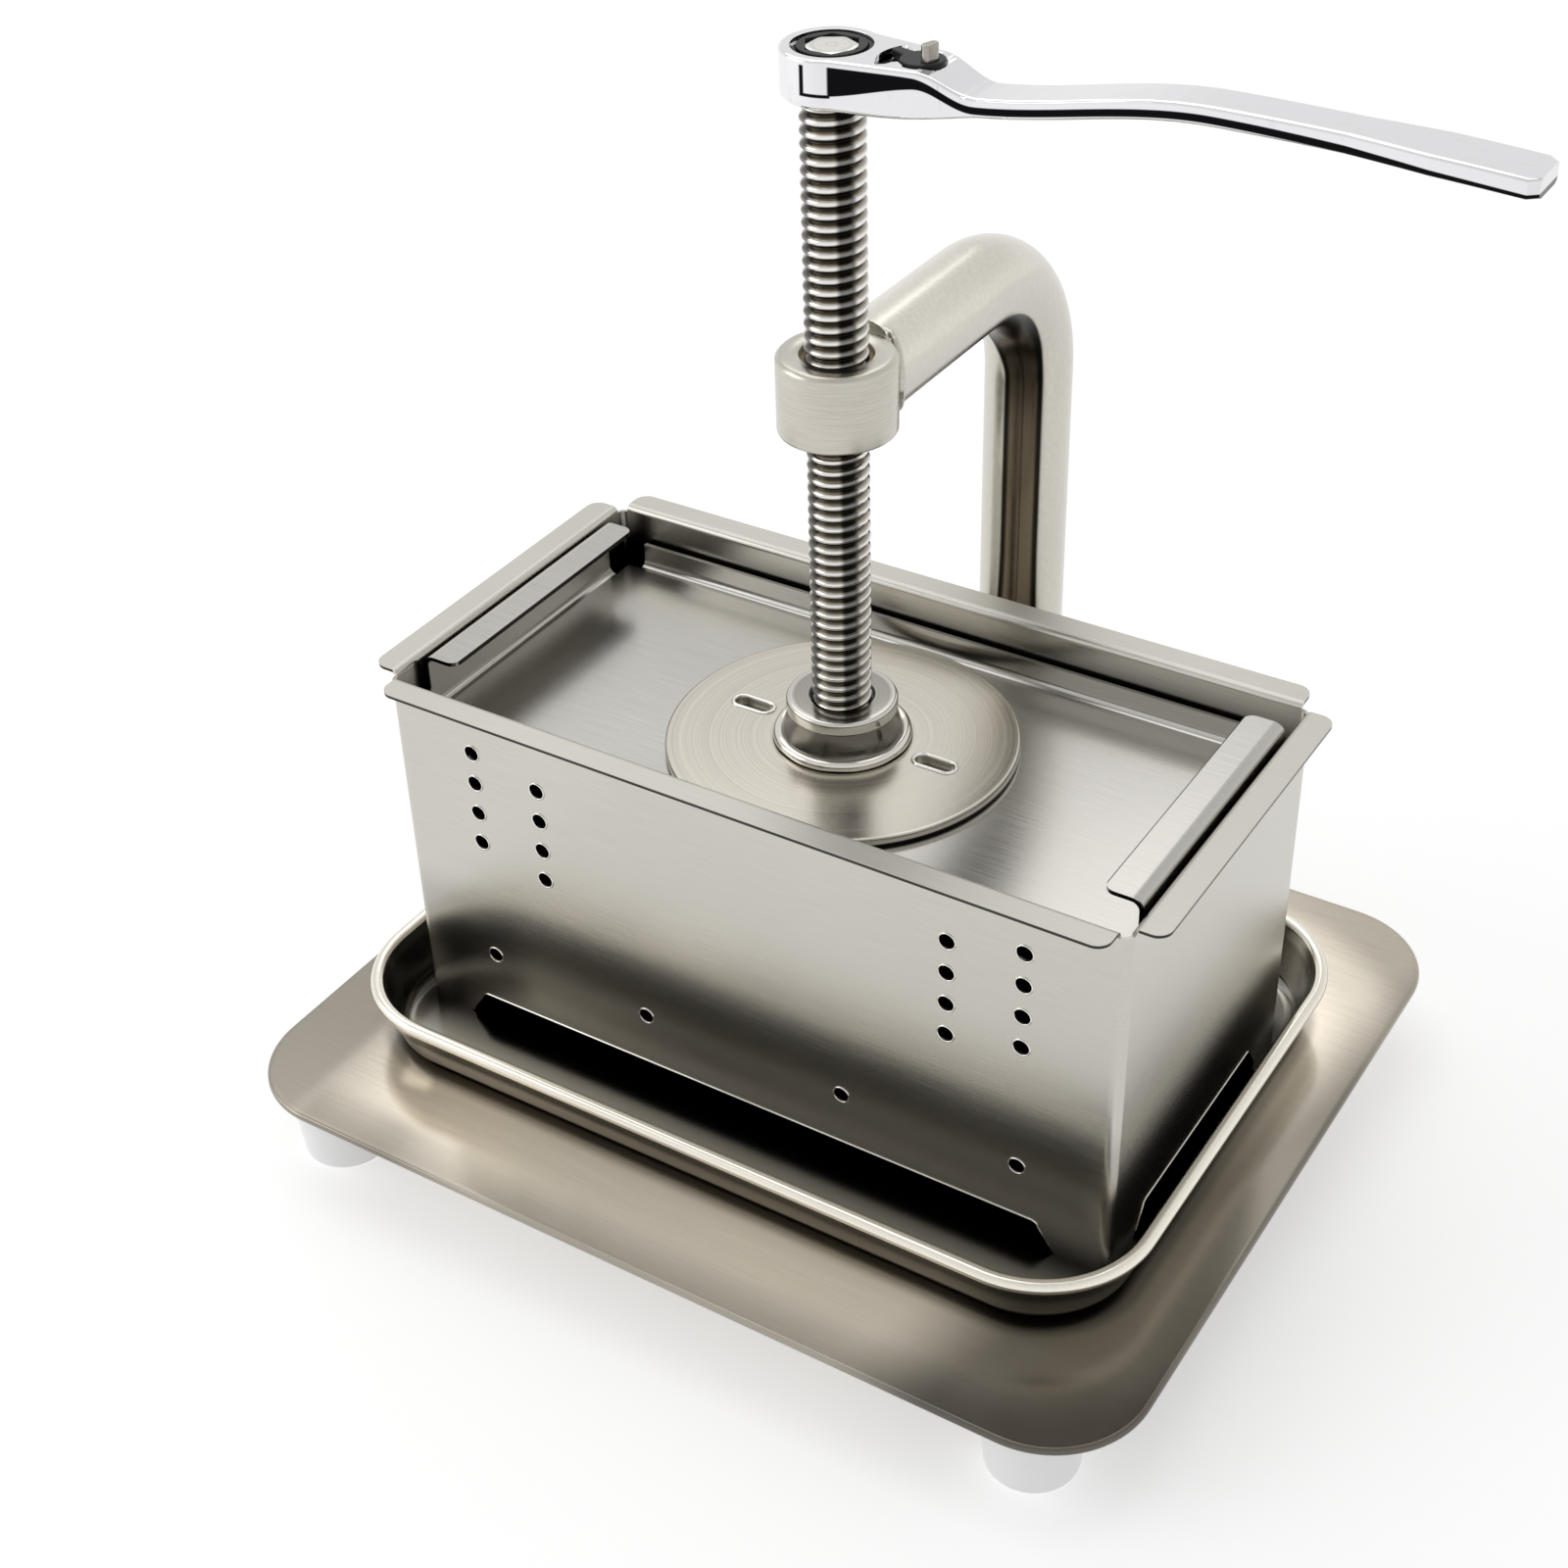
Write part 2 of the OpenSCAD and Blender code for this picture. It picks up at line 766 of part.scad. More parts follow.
module thrust_ball() {
    color("#9a9ca0")
        translate([0, 0, ball_z])
            sphere(d = ball_d);
}

// The screw's shaft over its crests, with the thread's depth taken off both ends as chamfers.
module screw_shaft() {
    r = screw_d / 2;
    c = thread_depth;
    rotate_extrude()
        polygon([
            [0, journal_end_z], [r - c / 2, journal_end_z], [r, journal_end_z + c / 2],
            [r, shoulder - c], [r - c, shoulder], [0, shoulder]]);
}

module lead_screw() {
    color("#a9a69e")
        difference() {
            union() {
                screw_shaft();
                translate([0, 0, shoulder])
                    cylinder(d = drive_af / cos(30), h = drive_h, $fn = 6);
            }
            translate([0, 0, ball_z])
                sphere(d = ball_d + 2 * run_gap);
            translate([0, 0, clip_z])
                difference() {
                    cylinder(d = screw_d + 2, h = clip_t);
                    translate([0, 0, -1])
                        cylinder(d = clip_groove_d, h = clip_t + 2);
                }
        }
}

// A spring ring that is open over the given angle, its gap on +X.
module open_ring(d_out, d_in, h, gap) {
    linear_extrude(h)
        difference() {
            circle(d = d_out);
            circle(d = d_in);
            polygon([[0, 0], [d_out, d_out * tan(gap / 2)], [d_out, -d_out * tan(gap / 2)]]);
        }
}

module screw_clip() {
    color("#6d6f73")
        translate([0, 0, clip_z])
            open_ring(clip_d, clip_groove_d, clip_t, clip_opening);
}

// The ratchet ring's toothed outline, grown by g.
module gear_outline(g = 0) {
    tip = ring_d / 2 + g;
    root = ring_d / 2 - tooth_h + g;
    polygon([for (i = [0:ring_teeth - 1], k = [0, 1])
        let (a = (i + k / 2) * 360 / ring_teeth)
            (k == 0 ? tip : root) * [cos(a), sin(a)]]);
}

module ratchet_ring() {
    color("#2b2b2d")
        difference() {
            union() {
                translate([0, 0, shoulder])
                    cylinder(d = ring_boss_d, h = ring_top - shoulder);
                translate([0, 0, gear_z])
                    linear_extrude(gear_h)
                        gear_outline();
            }
            translate([0, 0, shoulder - 1])
                cylinder(d = (drive_af + 2 * run_gap) / cos(30), h = head_h + 2, $fn = 6);
        }
}

// Height of the shank's middle line at a distance u from 0 at the neck to 1 at the tail: it climbs
// in a soft S to its highest point and then sinks a little towards the tail.
function shank_mid(u) = head_top - neck_drop - shank_t / 2
    + shank_arch * pow(sin(90 * min(1, u / shank_high)), 2)
    - shank_sag * pow(max(0, (u - shank_high) / (1 - shank_high)), 2);

module wrench_side() {
    steps = 24;
    run = wrench_reach - neck_x;
    polygon(concat(
        [[-head_d, head_z], [-head_d, head_top], [neck_x - 3, head_top]],
        [for (i = [0:steps]) [neck_x + run * i / steps, shank_mid(i / steps) + shank_t / 2]],
        [for (i = [steps:-1:2]) [neck_x + run * i / steps, shank_mid(i / steps) - shank_t / 2]],
        [[neck_x - 2.5, shank_mid(0) - shank_t / 2 - 0.3], [neck_low_x, head_z]]));
}

// Half of the wrench's outline behind the head, from the neck to the end of the tail.
function wrench_edge() = [
    [3, head_d / 2 - 1], [neck_x + 8, shank_w / 2], [wrench_reach - 40, shank_w / 2],
    [wrench_reach - 22, tail_w / 2], [wrench_reach - 2, tail_w / 2], [wrench_reach, tail_w / 2 - 2]];

module wrench_plan() {
    far = wrench_edge();
    circle(d = head_d);
    polygon(concat(
        [for (i = [0:len(far) - 1]) [far[i][0], -far[i][1]]],
        [for (i = [len(far) - 1:-1:0]) far[i]]));
}

// The selector's shallow recess: round over the stem, with a fan towards the head.
module recess_plan() {
    fan = selector_turn + 20;
    translate([selector_x, 0]) {
        circle(d = stem_d + 4.8);
        intersection() {
            circle(recess_r);
            polygon([
                [0, 0], [-2 * recess_r, 2 * recess_r * tan(fan)], [-2 * recess_r, -2 * recess_r * tan(fan)]]);
        }
    }
}

module wrench_body() {
    color("#e4e4e6")
        difference() {
            intersection() {
                translate([0, 0, head_z - 5])
                    linear_extrude(head_h + 10)
                        wrench_plan();
                rotate([90, 0, 0])
                    linear_extrude(head_d + 2, center = true)
                        wrench_side();
            }
            translate([0, 0, head_z - 1])
                cylinder(d = ring_boss_d + 2 * ring_gap, h = head_h + 2);
            translate([0, 0, head_z + head_floor_t])
                cylinder(d = ring_d + 2 * ring_gap, h = head_h);
            translate([0, 0, clip_slot_z])
                cylinder(d = clip_slot_d, h = clip_slot_h);
            translate([pawl_x, 0, head_z + head_floor_t])
                cylinder(r = pocket_r, h = pocket_top - head_z - head_floor_t);
            translate([pawl_x, 0, head_z + 0.5])
                cylinder(d = pawl_pin_d, h = pocket_top - head_z + 0.2);
            translate([selector_x, 0, stem_z])
                cylinder(d = stem_d + 2 * run_gap, h = head_h);
            translate([0, 0, head_top - recess_h])
                linear_extrude(recess_h + 1)
                    recess_plan();
        }
}

module ring_clip() {
    color("#3a3a3c")
        translate([0, 0, clip_slot_z + 0.05])
            rotate(180)
                open_ring(clip_slot_d - 0.1, ring_boss_d + 2 * free_gap, clip_slot_h - 0.1, clip_opening);
}

// The pawl between its two stops: a block round its pin, cut by the ring's teeth as it rocks.
module pawl_plan() {
    difference() {
        intersection() {
            translate([pawl_x, 0])
                circle(pocket_r - 0.4);
            translate([pawl_x - 10, -6.2])
                square([13.4, 12.4]);
        }
        translate([selector_x, 0])
            circle(plunger_reach + 0.1);
        for (s = [-1, -0.5, 0, 0.5, 1])
            translate([pawl_x, 0])
                rotate(s * pawl_rock)
                    translate([-pawl_x, 0])
                        gear_outline(0.12);
        translate([pawl_x, 0])
            circle(d = pawl_pin_d + 2 * run_gap);
    }
}

module pawl() {
    color("#77797d")
        translate([pawl_x, 0, pawl_z])
            rotate(pawl_rock)
                translate([-pawl_x, 0, 0])
                    linear_extrude(pawl_top - pawl_z)
                        pawl_plan();
}

module pawl_pin() {
    color("#9a9ca0")
        translate([pawl_x, 0, head_z + 0.5])
            cylinder(d = pawl_pin_d, h = pocket_top - head_z + 0.2);
}

// Places children in the selector's own frame: its nose along -X, its axis at the origin.
module on_selector() {
    translate([selector_x, 0, 0])
        rotate(-selector_turn)
            children();
}

module selector_lever() {
    color("#1f1f21")
        on_selector()
            difference() {
                union() {
                    translate([0, 0, stem_z + 0.1])
                        cylinder(d = stem_d, h = head_top - stem_z);
                    translate([0, 0, head_top - recess_h + 0.15])
                        linear_extrude(recess_h + 0.25) {
                            circle(d = stem_d + 4);
                            mirror([1, 0])
                                tangent_bar(2.2, 0, 1.3, recess_r - 2);
                        }
                }
                translate([-plunger_reach, 0, plunger_z])
                    rotate([0, 90, 0])
                        cylinder(d = plunger_d + 2 * run_gap, h = plunger_reach + 1.9, $fn = 32);
                translate([tab_x, 0, head_top - recess_h + 1])
                    linear_extrude(recess_h + 2)
                        tab_plan();
            }
}

module tab_plan() {
    rotate(90)
        obround(4.4, 2.4);
}

module thumb_tab() {
    color("#e4e4e6")
        on_selector()
            translate([tab_x, 0, head_top - recess_h + 1])
                linear_extrude(recess_h + 3.4)
                    tab_plan();
}

module pawl_plunger() {
    color("#9a9ca0")
        on_selector()
            translate([-plunger_reach, 0, plunger_z])
                rotate([0, 90, 0]) {
                    cylinder(d1 = 1.2, d2 = plunger_d, h = 0.8, $fn = 32);
                    translate([0, 0, 0.8])
                        cylinder(d = plunger_d, h = 3, $fn = 32);
                }
}

// A wire of the given thickness wound along +Z, its middle line at radius r.
module coil(r, wire, length, turns) {
    steps = 12 * turns;
    sides = 6;
    function spot(i, k) =
        let (a = 360 * i * turns / steps, b = 360 * k / sides, q = r + wire / 2 * cos(b))
            [q * cos(a), q * sin(a), wire / 2 + (length - wire) * i / steps + wire / 2 * sin(b)];
    polyhedron(
        points = [for (i = [0:steps], k = [0:sides - 1]) spot(i, k)],
        faces = concat(
            [[for (k = [0:sides - 1]) k]],
            [for (i = [0:steps - 1], k = [0:sides - 1])
                [i * sides + k, (i + 1) * sides + k,
                    (i + 1) * sides + (k + 1) % sides, i * sides + (k + 1) % sides]],
            [[for (k = [sides - 1:-1:0]) steps * sides + k]]));
}

module plunger_spring() {
    start = -plunger_reach + 3.8 + 0.05;
    color("#8a8c90")
        on_selector()
            translate([start, 0, plunger_z])
                rotate([0, 90, 0])
                    coil(plunger_d / 2 - 0.3, 0.4, 1.8 - start, 4);
}

placed() base_plate();
placed() foot_front_left();
placed() foot_front_right();
placed() foot_back_left();
placed() foot_back_right();
placed() foot_studs();
placed() foot_washers();
placed() foot_nuts();
placed() arm_tube();
placed() post_weld();
placed() collar();
placed() collar_weld();
placed() nut_bush();
placed() drip_tray();
placed() box_shell();
placed() strainer_floor();
placed() press_plate();
placed() pressure_disc();
placed() hub_cup();
placed() hub_weld();
placed() thrust_washer();
placed() thrust_ball();
placed() lead_screw();
placed() screw_clip();
placed() ratchet_ring();
placed() wrench_body();
placed() ring_clip();
placed() pawl();
placed() pawl_pin();
placed() selector_lever();
placed() thumb_tab();
placed() pawl_plunger();
placed() plunger_spring();
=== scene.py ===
import json
import math
import bmesh
import bpy
import numpy as np
from mathutils import Matrix, Vector


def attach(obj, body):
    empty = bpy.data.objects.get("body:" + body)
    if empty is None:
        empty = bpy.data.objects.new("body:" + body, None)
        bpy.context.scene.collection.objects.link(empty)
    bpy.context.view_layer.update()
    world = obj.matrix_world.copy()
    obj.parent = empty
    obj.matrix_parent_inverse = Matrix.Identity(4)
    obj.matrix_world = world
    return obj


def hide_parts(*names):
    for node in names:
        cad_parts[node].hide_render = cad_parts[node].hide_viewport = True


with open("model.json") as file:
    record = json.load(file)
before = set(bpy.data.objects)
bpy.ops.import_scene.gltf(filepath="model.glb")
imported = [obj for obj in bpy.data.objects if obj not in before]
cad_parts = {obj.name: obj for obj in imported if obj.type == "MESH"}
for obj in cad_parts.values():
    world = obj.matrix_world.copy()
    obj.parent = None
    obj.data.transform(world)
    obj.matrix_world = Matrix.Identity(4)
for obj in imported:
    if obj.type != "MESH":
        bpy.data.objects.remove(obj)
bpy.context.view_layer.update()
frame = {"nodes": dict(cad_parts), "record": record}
nodes = frame["nodes"]
print("frame loaded:", len(nodes), "nodes")

axisShift = np.array([-12.75, -3.0, 0.0])  # the screw axis in the part's frame, mm


def linked(name, data):
    # A new object in the scene with this mesh, lamp or camera.
    thing = bpy.data.objects.new(name, data)
    bpy.context.scene.collection.objects.link(thing)
    return thing


def gridMesh(name, points, wrapU=False, wrapV=False, capU=False, capV=False, marks=None):
    # Quads on a grid of points [u, v] in mm from the screw axis. A wrapped side joins its last row to
    # its first, a capped side closes both end rows. Marks are grids of numbers that materials read.
    nu, nv = points.shape[:2]
    index = np.arange(nu * nv).reshape(nu, nv)
    iu = np.arange(nu if wrapU else nu - 1)
    iv = np.arange(nv if wrapV else nv - 1)
    a = index[iu][:, iv]
    b = index[(iu + 1) % nu][:, iv]
    c = index[(iu + 1) % nu][:, (iv + 1) % nv]
    d = index[iu][:, (iv + 1) % nv]
    faces = np.stack([a, b, c, d], axis=-1).reshape(-1, 4).tolist()
    if capU:
        faces.append(index[0].tolist())
        faces.append(index[-1][::-1].tolist())
    if capV:
        faces.append(index[:, 0][::-1].tolist())
        faces.append(index[:, -1].tolist())
    verts = (points.reshape(-1, 3) + axisShift) / 1000
    mesh = bpy.data.meshes.new(name)
    mesh.from_pydata(verts.tolist(), [], faces)
    for label, values in (marks or {}).items():
        layer = mesh.attributes.new(label, "FLOAT", "POINT")
        layer.data.foreach_set("value", np.broadcast_to(values, (nu, nv)).astype(np.float32).ravel())
    mesh.update()
    return linked(name, mesh)


def smoothFaces(mesh, sharp=35):
    mesh.polygons.foreach_set("use_smooth", np.ones(len(mesh.polygons), dtype=bool))
    mesh.set_sharp_from_angle(angle=math.radians(sharp))


def tidyMesh(piece, sharp=35):
    # Doubles merged, faces turned outwards, smooth shading with edges over the angle kept sharp.
    work = bmesh.new()
    work.from_mesh(piece.data)
    bmesh.ops.remove_doubles(work, verts=work.verts, dist=1e-6)
    bmesh.ops.recalc_face_normals(work, faces=work.faces)
    work.to_mesh(piece.data)
    work.free()
    smoothFaces(piece.data, sharp)
    return piece


def arc(cx, cy, r, start, end, steps):
    # Points on a circle about (cx, cy), from one angle to another in degrees: centre + r (cos t, sin t).
    t = np.radians(np.linspace(start, end, steps + 1))
    return np.stack([cx + r * np.cos(t), cy + r * np.sin(t)], axis=-1)


def fullTurn(steps):
    # Angles round a circle, the first not repeated.
    return np.linspace(0, 2 * np.pi, steps, endpoint=False)


def roundRectPath(length, width, radius, cornerSteps=16, sideSteps=6):
    # A rectangle with round corners, anticlockwise, with its outward normals.
    hx, hy = length / 2 - radius, width / 2 - radius
    centres = np.array([(hx, hy), (-hx, hy), (-hx, -hy), (hx, -hy)])
    f = np.linspace(0, 1, sideSteps + 1)[1:-1, None]
    pts, norms = [], []
    for k, centre in enumerate(centres):
        t = np.radians(np.linspace(90 * k, 90 * k + 90, cornerSteps + 1))
        n = np.stack([np.cos(t), np.sin(t)], axis=-1)
        corner = centre + radius * n
        nextStart = centres[(k + 1) % 4] + radius * n[-1]
        side = corner[-1] * (1 - f) + nextStart * f
        pts += [corner, side]
        norms += [n, np.repeat(n[-1:], len(side), axis=0)]
    return np.concatenate(pts), np.concatenate(norms)


def alongPath(path, norms, profile, centre=(0, 0)):
    # A profile of (outward offset, height) carried round a flat path: point + offset x normal.
    flat = path[:, None, :] + norms[:, None, :] * profile[None, :, :1] + np.array(centre)
    z = np.broadcast_to(profile[None, :, 1:], flat.shape[:2] + (1,))
    return np.concatenate([flat, z], axis=-1)


def runAlong(points):
    # The length covered at each point of a line.
    return np.append(0, np.cumsum(np.linalg.norm(np.diff(points, axis=0), axis=1)))


def latheGrid(profile, steps=96, centre=(0, 0)):
    # A profile of (radius, height) turned about a vertical axis: centre + radius (cos t, sin t).
    t = fullTurn(steps)[:, None]
    r, z = profile[None, :, 0], profile[None, :, 1]
    return np.stack([centre[0] + r * np.cos(t), centre[1] + r * np.sin(t), z + 0 * t], axis=-1)


def dressedCopy(node, width, segments=2, angle=30, sharp=35):
    # A merged copy of a solid whose sharp edges get a small round by a Bevel modifier.
    mesh = nodes[node].data.copy()
    work = bmesh.new()
    work.from_mesh(mesh)
    bmesh.ops.remove_doubles(work, verts=work.verts, dist=2e-6)
    bmesh.ops.dissolve_limit(work, angle_limit=math.radians(0.3), verts=work.verts, edges=work.edges)
    work.to_mesh(mesh)
    work.free()
    mesh.materials.clear()
    piece = linked(node + "_dress", mesh)
    smoothFaces(mesh, sharp)
    bevel = piece.modifiers.new("edgeRound", "BEVEL")
    bevel.width = width / 1000
    bevel.segments = segments
    bevel.limit_method = "ANGLE"
    bevel.angle_limit = math.radians(angle)
    bevel.harden_normals = True
    bevel.use_clamp_overlap = True
    even = piece.modifiers.new("evenShading", "WEIGHTED_NORMAL")
    even.keep_sharp = True
    even.weight = 100
    return piece


def easeBetween(x, start, end, low, high):
    # A smooth step in x: low + (high - low) u^2 (3 - 2u), with u from 0 at the start to 1 at the end.
    u = np.clip((x - start) / (end - start), 0, 1)
    return low + (high - low) * u * u * (3 - 2 * u)


def vertexPlaces(mesh):
    # The vertices' places in mm from the screw axis.
    flat = np.empty(len(mesh.vertices) * 3)
    mesh.vertices.foreach_get("co", flat)
    return flat.reshape(-1, 3) * 1000 - axisShift


# The wrench's side view along x in mm: level head, slopes at the neck, then the shank with its crest. The
# flowing neck and sole run between x values of their own. Slices: start, end, and how many or how wide.
wrenchLine = dict(headTop=313, headLow=301, drop=4.5, thick=4.5, slope=(28.5, 31.5),
    lowAt=(22.9, 29.0, 42.5), lowZ=(301, 303.7, 304.58), shankAt=31.5, shankLong=132.5, crest=0.48,
    rise=8, fall=2.4, neck=(25, 40), sole=(16, 42.5), soleEnd=304, neckCuts=(15, 41, 33),
    shankCuts=(42, 96, 1.5))
# The widest edge round, the others as parts of it, and where they apply.
wrenchRounds = dict(width=2.4, rim=0.36, sole=0.9, soleLess=0.45, lessFrom=20, lessOver=8, head=0.05,
    headTo=13, recessR=11.6, recessTo=12, halfSlot=5.0, acrossOver=3, flatUnder=26)


def roundWrench(node, width, segments=5, nearTop=0.06, nearSole=0.12):
    # A copy of the wrench with a flowing neck: cut across in slices, the vertices of its upper and lower
    # faces moved to smooth curves, and its edges rounded by widths of their own, wide below the head.
    line = wrenchLine
    piece = dressedCopy(node, width, segments)
    mesh = piece.data
    work = bmesh.new()
    work.from_mesh(mesh)
    for x in np.append(np.linspace(*line["neckCuts"]), np.arange(*line["shankCuts"])):
        whole = work.verts[:] + work.edges[:] + work.faces[:]
        cut = ((x + axisShift[0]) / 1000, 0, 0)
        bmesh.ops.bisect_plane(work, geom=whole, dist=1e-7, plane_co=cut, plane_no=(1, 0, 0))
    work.to_mesh(mesh)
    work.free()
    verts = vertexPlaces(mesh)
    x, y, z = (verts[:, k] for k in range(3))
    onTop = np.abs(z - wrenchTop(x)) < nearTop
    onSole = np.abs(z - wrenchLow(x)) < nearSole
    climb = wrenchClimb(x)
    for onFace, (start, end), high, low in (
            (onTop, line["neck"], line["headTop"], line["headTop"] - line["drop"]),
            (onSole, line["sole"], line["headLow"], line["soleEnd"])):
        inside = onFace & (x > start) & (x < end)
        z = np.where(inside, easeBetween(x, start, end, high, low) + climb, z)
    flat = (np.stack([x, y, z], -1) + axisShift) / 1000
    mesh.vertices.foreach_set("co", flat.ravel())
    ends = np.empty(len(mesh.edges) * 2, dtype=int)
    mesh.edges.foreach_get("vertices", ends)
    ends = ends.reshape(-1, 2)
    p = wrenchRounds
    byHead = x < p["recessTo"]
    outside = byHead & (np.hypot(x, y) > p["recessR"]) | ~byHead & (np.abs(y) > p["halfSlot"])
    across = np.abs(np.diff(y[ends], axis=1)[:, 0]) > p["acrossOver"]
    rim = (onTop & outside)[ends].all(axis=1) & ~across
    sole = (onSole & outside)[ends].all(axis=1) & ~across
    start = x[ends[:, 0]]
    weight = np.where(start < p["headTo"], p["head"], 0.0)
    weight[rim] = p["rim"]
    less = p["soleLess"] * np.clip((start - p["lessFrom"]) / p["lessOver"], 0, 1)
    weight[sole] = (p["sole"] - less)[sole]
    work = bmesh.new()
    work.from_mesh(mesh)
    angles = np.array([e.calc_face_angle(0.0) for e in work.edges])
    work.free()
    weight[angles < math.radians(p["flatUnder"])] = 0.0
    layer = mesh.attributes.new("bevel_weight_edge", "FLOAT", "EDGE")
    layer.data.foreach_set("value", weight.astype(np.float32))
    mesh.update()
    bevel = piece.modifiers["edgeRound"]
    bevel.limit_method = "WEIGHT"
    bevel.use_clamp_overlap = False
    return piece


def wrenchClimb(x):
    # With u from 0 to 1 along the shank: rise x squared sine of 90 degrees x u / crest, less fall x the
    # square of the part beyond the crest.
    p = wrenchLine
    u = np.clip((x - p["shankAt"]) / p["shankLong"], 0, 1)
    climb = p["rise"] * np.sin(np.radians(90 * np.minimum(1, u / p["crest"]))) ** 2
    return climb - p["fall"] * np.maximum(0, (u - p["crest"]) / (1 - p["crest"])) ** 2


def wrenchTop(x):
    # Height of the solid's upper face: level head, a straight slope at the neck, then the shank.
    p, (start, end) = wrenchLine, wrenchLine["slope"]
    return p["headTop"] - p["drop"] * np.clip((x - start) / (end - start), 0, 1) + wrenchClimb(x)


def wrenchLow(x):
    # Height of the lower face: level head, two slopes under the neck, then the shank's thickness.
    p = wrenchLine
    slopes = np.interp(x, p["lowAt"], p["lowZ"])
    return np.where(x < p["lowAt"][-1], slopes, wrenchTop(x) - p["thick"])


def newGroup(name, inputs, *outputs):
    # A shader group and its ends' sockets. An input that holds a float is a number, any other a vector.
    group = bpy.data.node_groups.new(name, "ShaderNodeTree")
    for label, value in inputs.items():
        kind = "NodeSocketFloat" if isinstance(value, float) else "NodeSocketVector"
        socket = group.interface.new_socket(name=label, in_out="INPUT", socket_type=kind)
        if value is not None:
            socket.default_value = value
    for label in outputs:
        group.interface.new_socket(name=label, in_out="OUTPUT", socket_type="NodeSocketFloat")
    return group, group.nodes.new("NodeGroupInput").outputs, group.nodes.new("NodeGroupOutput").inputs


def addNode(tree, kind, operation=None):
    node = tree.nodes.new("ShaderNode" + kind)
    if operation:
        node.operation = operation
    return node


def feed(source, socket):
    # Puts a number on a socket, or links another socket to it.
    if isinstance(source, (int, float)):
        socket.default_value = source
    else:
        socket.id_data.links.new(source, socket)


def treeOf(*sources):
    # The node tree of the first socket among numbers, colours and sockets.
    return next(s.id_data for s in sources if isinstance(s, bpy.types.NodeSocket))


def calc(operation, first, second=0.0):
    node = addNode(treeOf(first, second), "Math", operation)
    feed(first, node.inputs[0])
    feed(second, node.inputs[1])
    return node.outputs[0]


def product(first, *others):
    for other in others:
        first = calc("MULTIPLY", first, other)
    return first


def lessOf(value):
    # One minus a value.
    return calc("SUBTRACT", 1.0, value)


def axesOf(vector):
    # A vector's x, y and z.
    split = addNode(vector.id_data, "SeparateXYZ")
    feed(vector, split.inputs[0])
    return split.outputs


def inMm(metres):
    return calc("MULTIPLY", metres, 1000.0)


def step(source, fromLow, fromHigh, low=0.0, high=1.0):
    # A smooth step of a value between two limits, by the node's first five sockets.
    node = addNode(source.id_data, "MapRange")
    node.interpolation_type = "SMOOTHSTEP"
    for value, socket in zip((source, fromLow, fromHigh, low, high), node.inputs):
        feed(value, socket)
    return node.outputs[0]


def place(group, **values):
    # A shader group placed in a material with its own values.
    node = addNode(treeOf(*values.values()), "Group")
    node.node_tree = group
    for label, value in values.items():
        if isinstance(value, tuple):
            node.inputs[label].default_value = value
        else:
            feed(value, node.inputs[label])
    return node


def noiseOf(vector, scale, detail):
    noise = addNode(vector.id_data, "TexNoise")
    noise.inputs["Detail"].default_value = detail
    feed(vector, noise.inputs["Vector"])
    feed(scale, noise.inputs["Scale"])
    return noise.outputs[0]


def buildSheetGrain():
    # Fine scratches of a satin sheet in one direction, with broad soft clouds.
    inputs = dict(Vector=None, Stretch=(60, 2600, 2600), Clouds=12.0)
    group, inp, out = newGroup("sheetGrain", inputs, "Streak", "Cloud")
    scale = addNode(group, "VectorMath", "MULTIPLY")
    feed(inp["Vector"], scale.inputs[0])
    feed(inp["Stretch"], scale.inputs[1])
    streak = noiseOf(scale.outputs[0], 1.0, 3.0)
    cloud = noiseOf(inp["Vector"], inp["Clouds"], 1.0)
    feed(step(streak, 0.25, 0.75), out["Streak"])
    feed(step(cloud, 0.3, 0.7), out["Cloud"])
    return group


def buildTurnGrain():
    # Fine rings round the screw axis left by a lathe tool: noise on radius and height.
    group, inp, out = newGroup("turnGrain", dict(Vector=None, Pitch=2400.0), "Ring", "Radius")
    x, y, z = axesOf(inp["Vector"])
    flat = addNode(group, "CombineXYZ")
    feed(x, flat.inputs[0])
    feed(y, flat.inputs[1])
    size = addNode(group, "VectorMath", "LENGTH")
    feed(flat.outputs[0], size.inputs[0])
    line = addNode(group, "CombineXYZ")
    feed(size.outputs["Value"], line.inputs[0])
    feed(z, line.inputs[1])
    ring = noiseOf(line.outputs[0], inp["Pitch"], 3.0)
    feed(step(ring, 0.25, 0.75), out["Ring"])
    feed(inMm(size.outputs["Value"]), out["Radius"])
    return group


def buildFineSpeck():
    # Small pits and dust, a soft threshold on fine noise.
    group, inp, out = newGroup("fineSpeck", dict(Vector=None, Size=260.0, Rarity=0.6), "Speck")
    noise = noiseOf(inp["Vector"], inp["Size"], 2.0)
    feed(step(noise, inp["Rarity"], 0.85), out["Speck"])
    return group


def buildPulse():
    # One between Low and High with soft ends, nought outside: a rising step x (1 - a later one).
    group, inp, out = newGroup("pulse", dict(Value=0.0, Low=0.0, High=1.0, Soft=0.1), "Mask")
    sides = []
    for label in ("Low", "High"):
        start = calc("SUBTRACT", inp[label], inp["Soft"])
        end = calc("ADD", inp[label], inp["Soft"])
        sides.append(step(inp["Value"], start, end))
    feed(product(sides[0], lessOf(sides[1])), out["Mask"])
    return group


def between(value, low, high, soft):
    # The pulse group in a material.
    return place(pulse, Value=value, Low=low, High=high, Soft=soft).outputs[0]


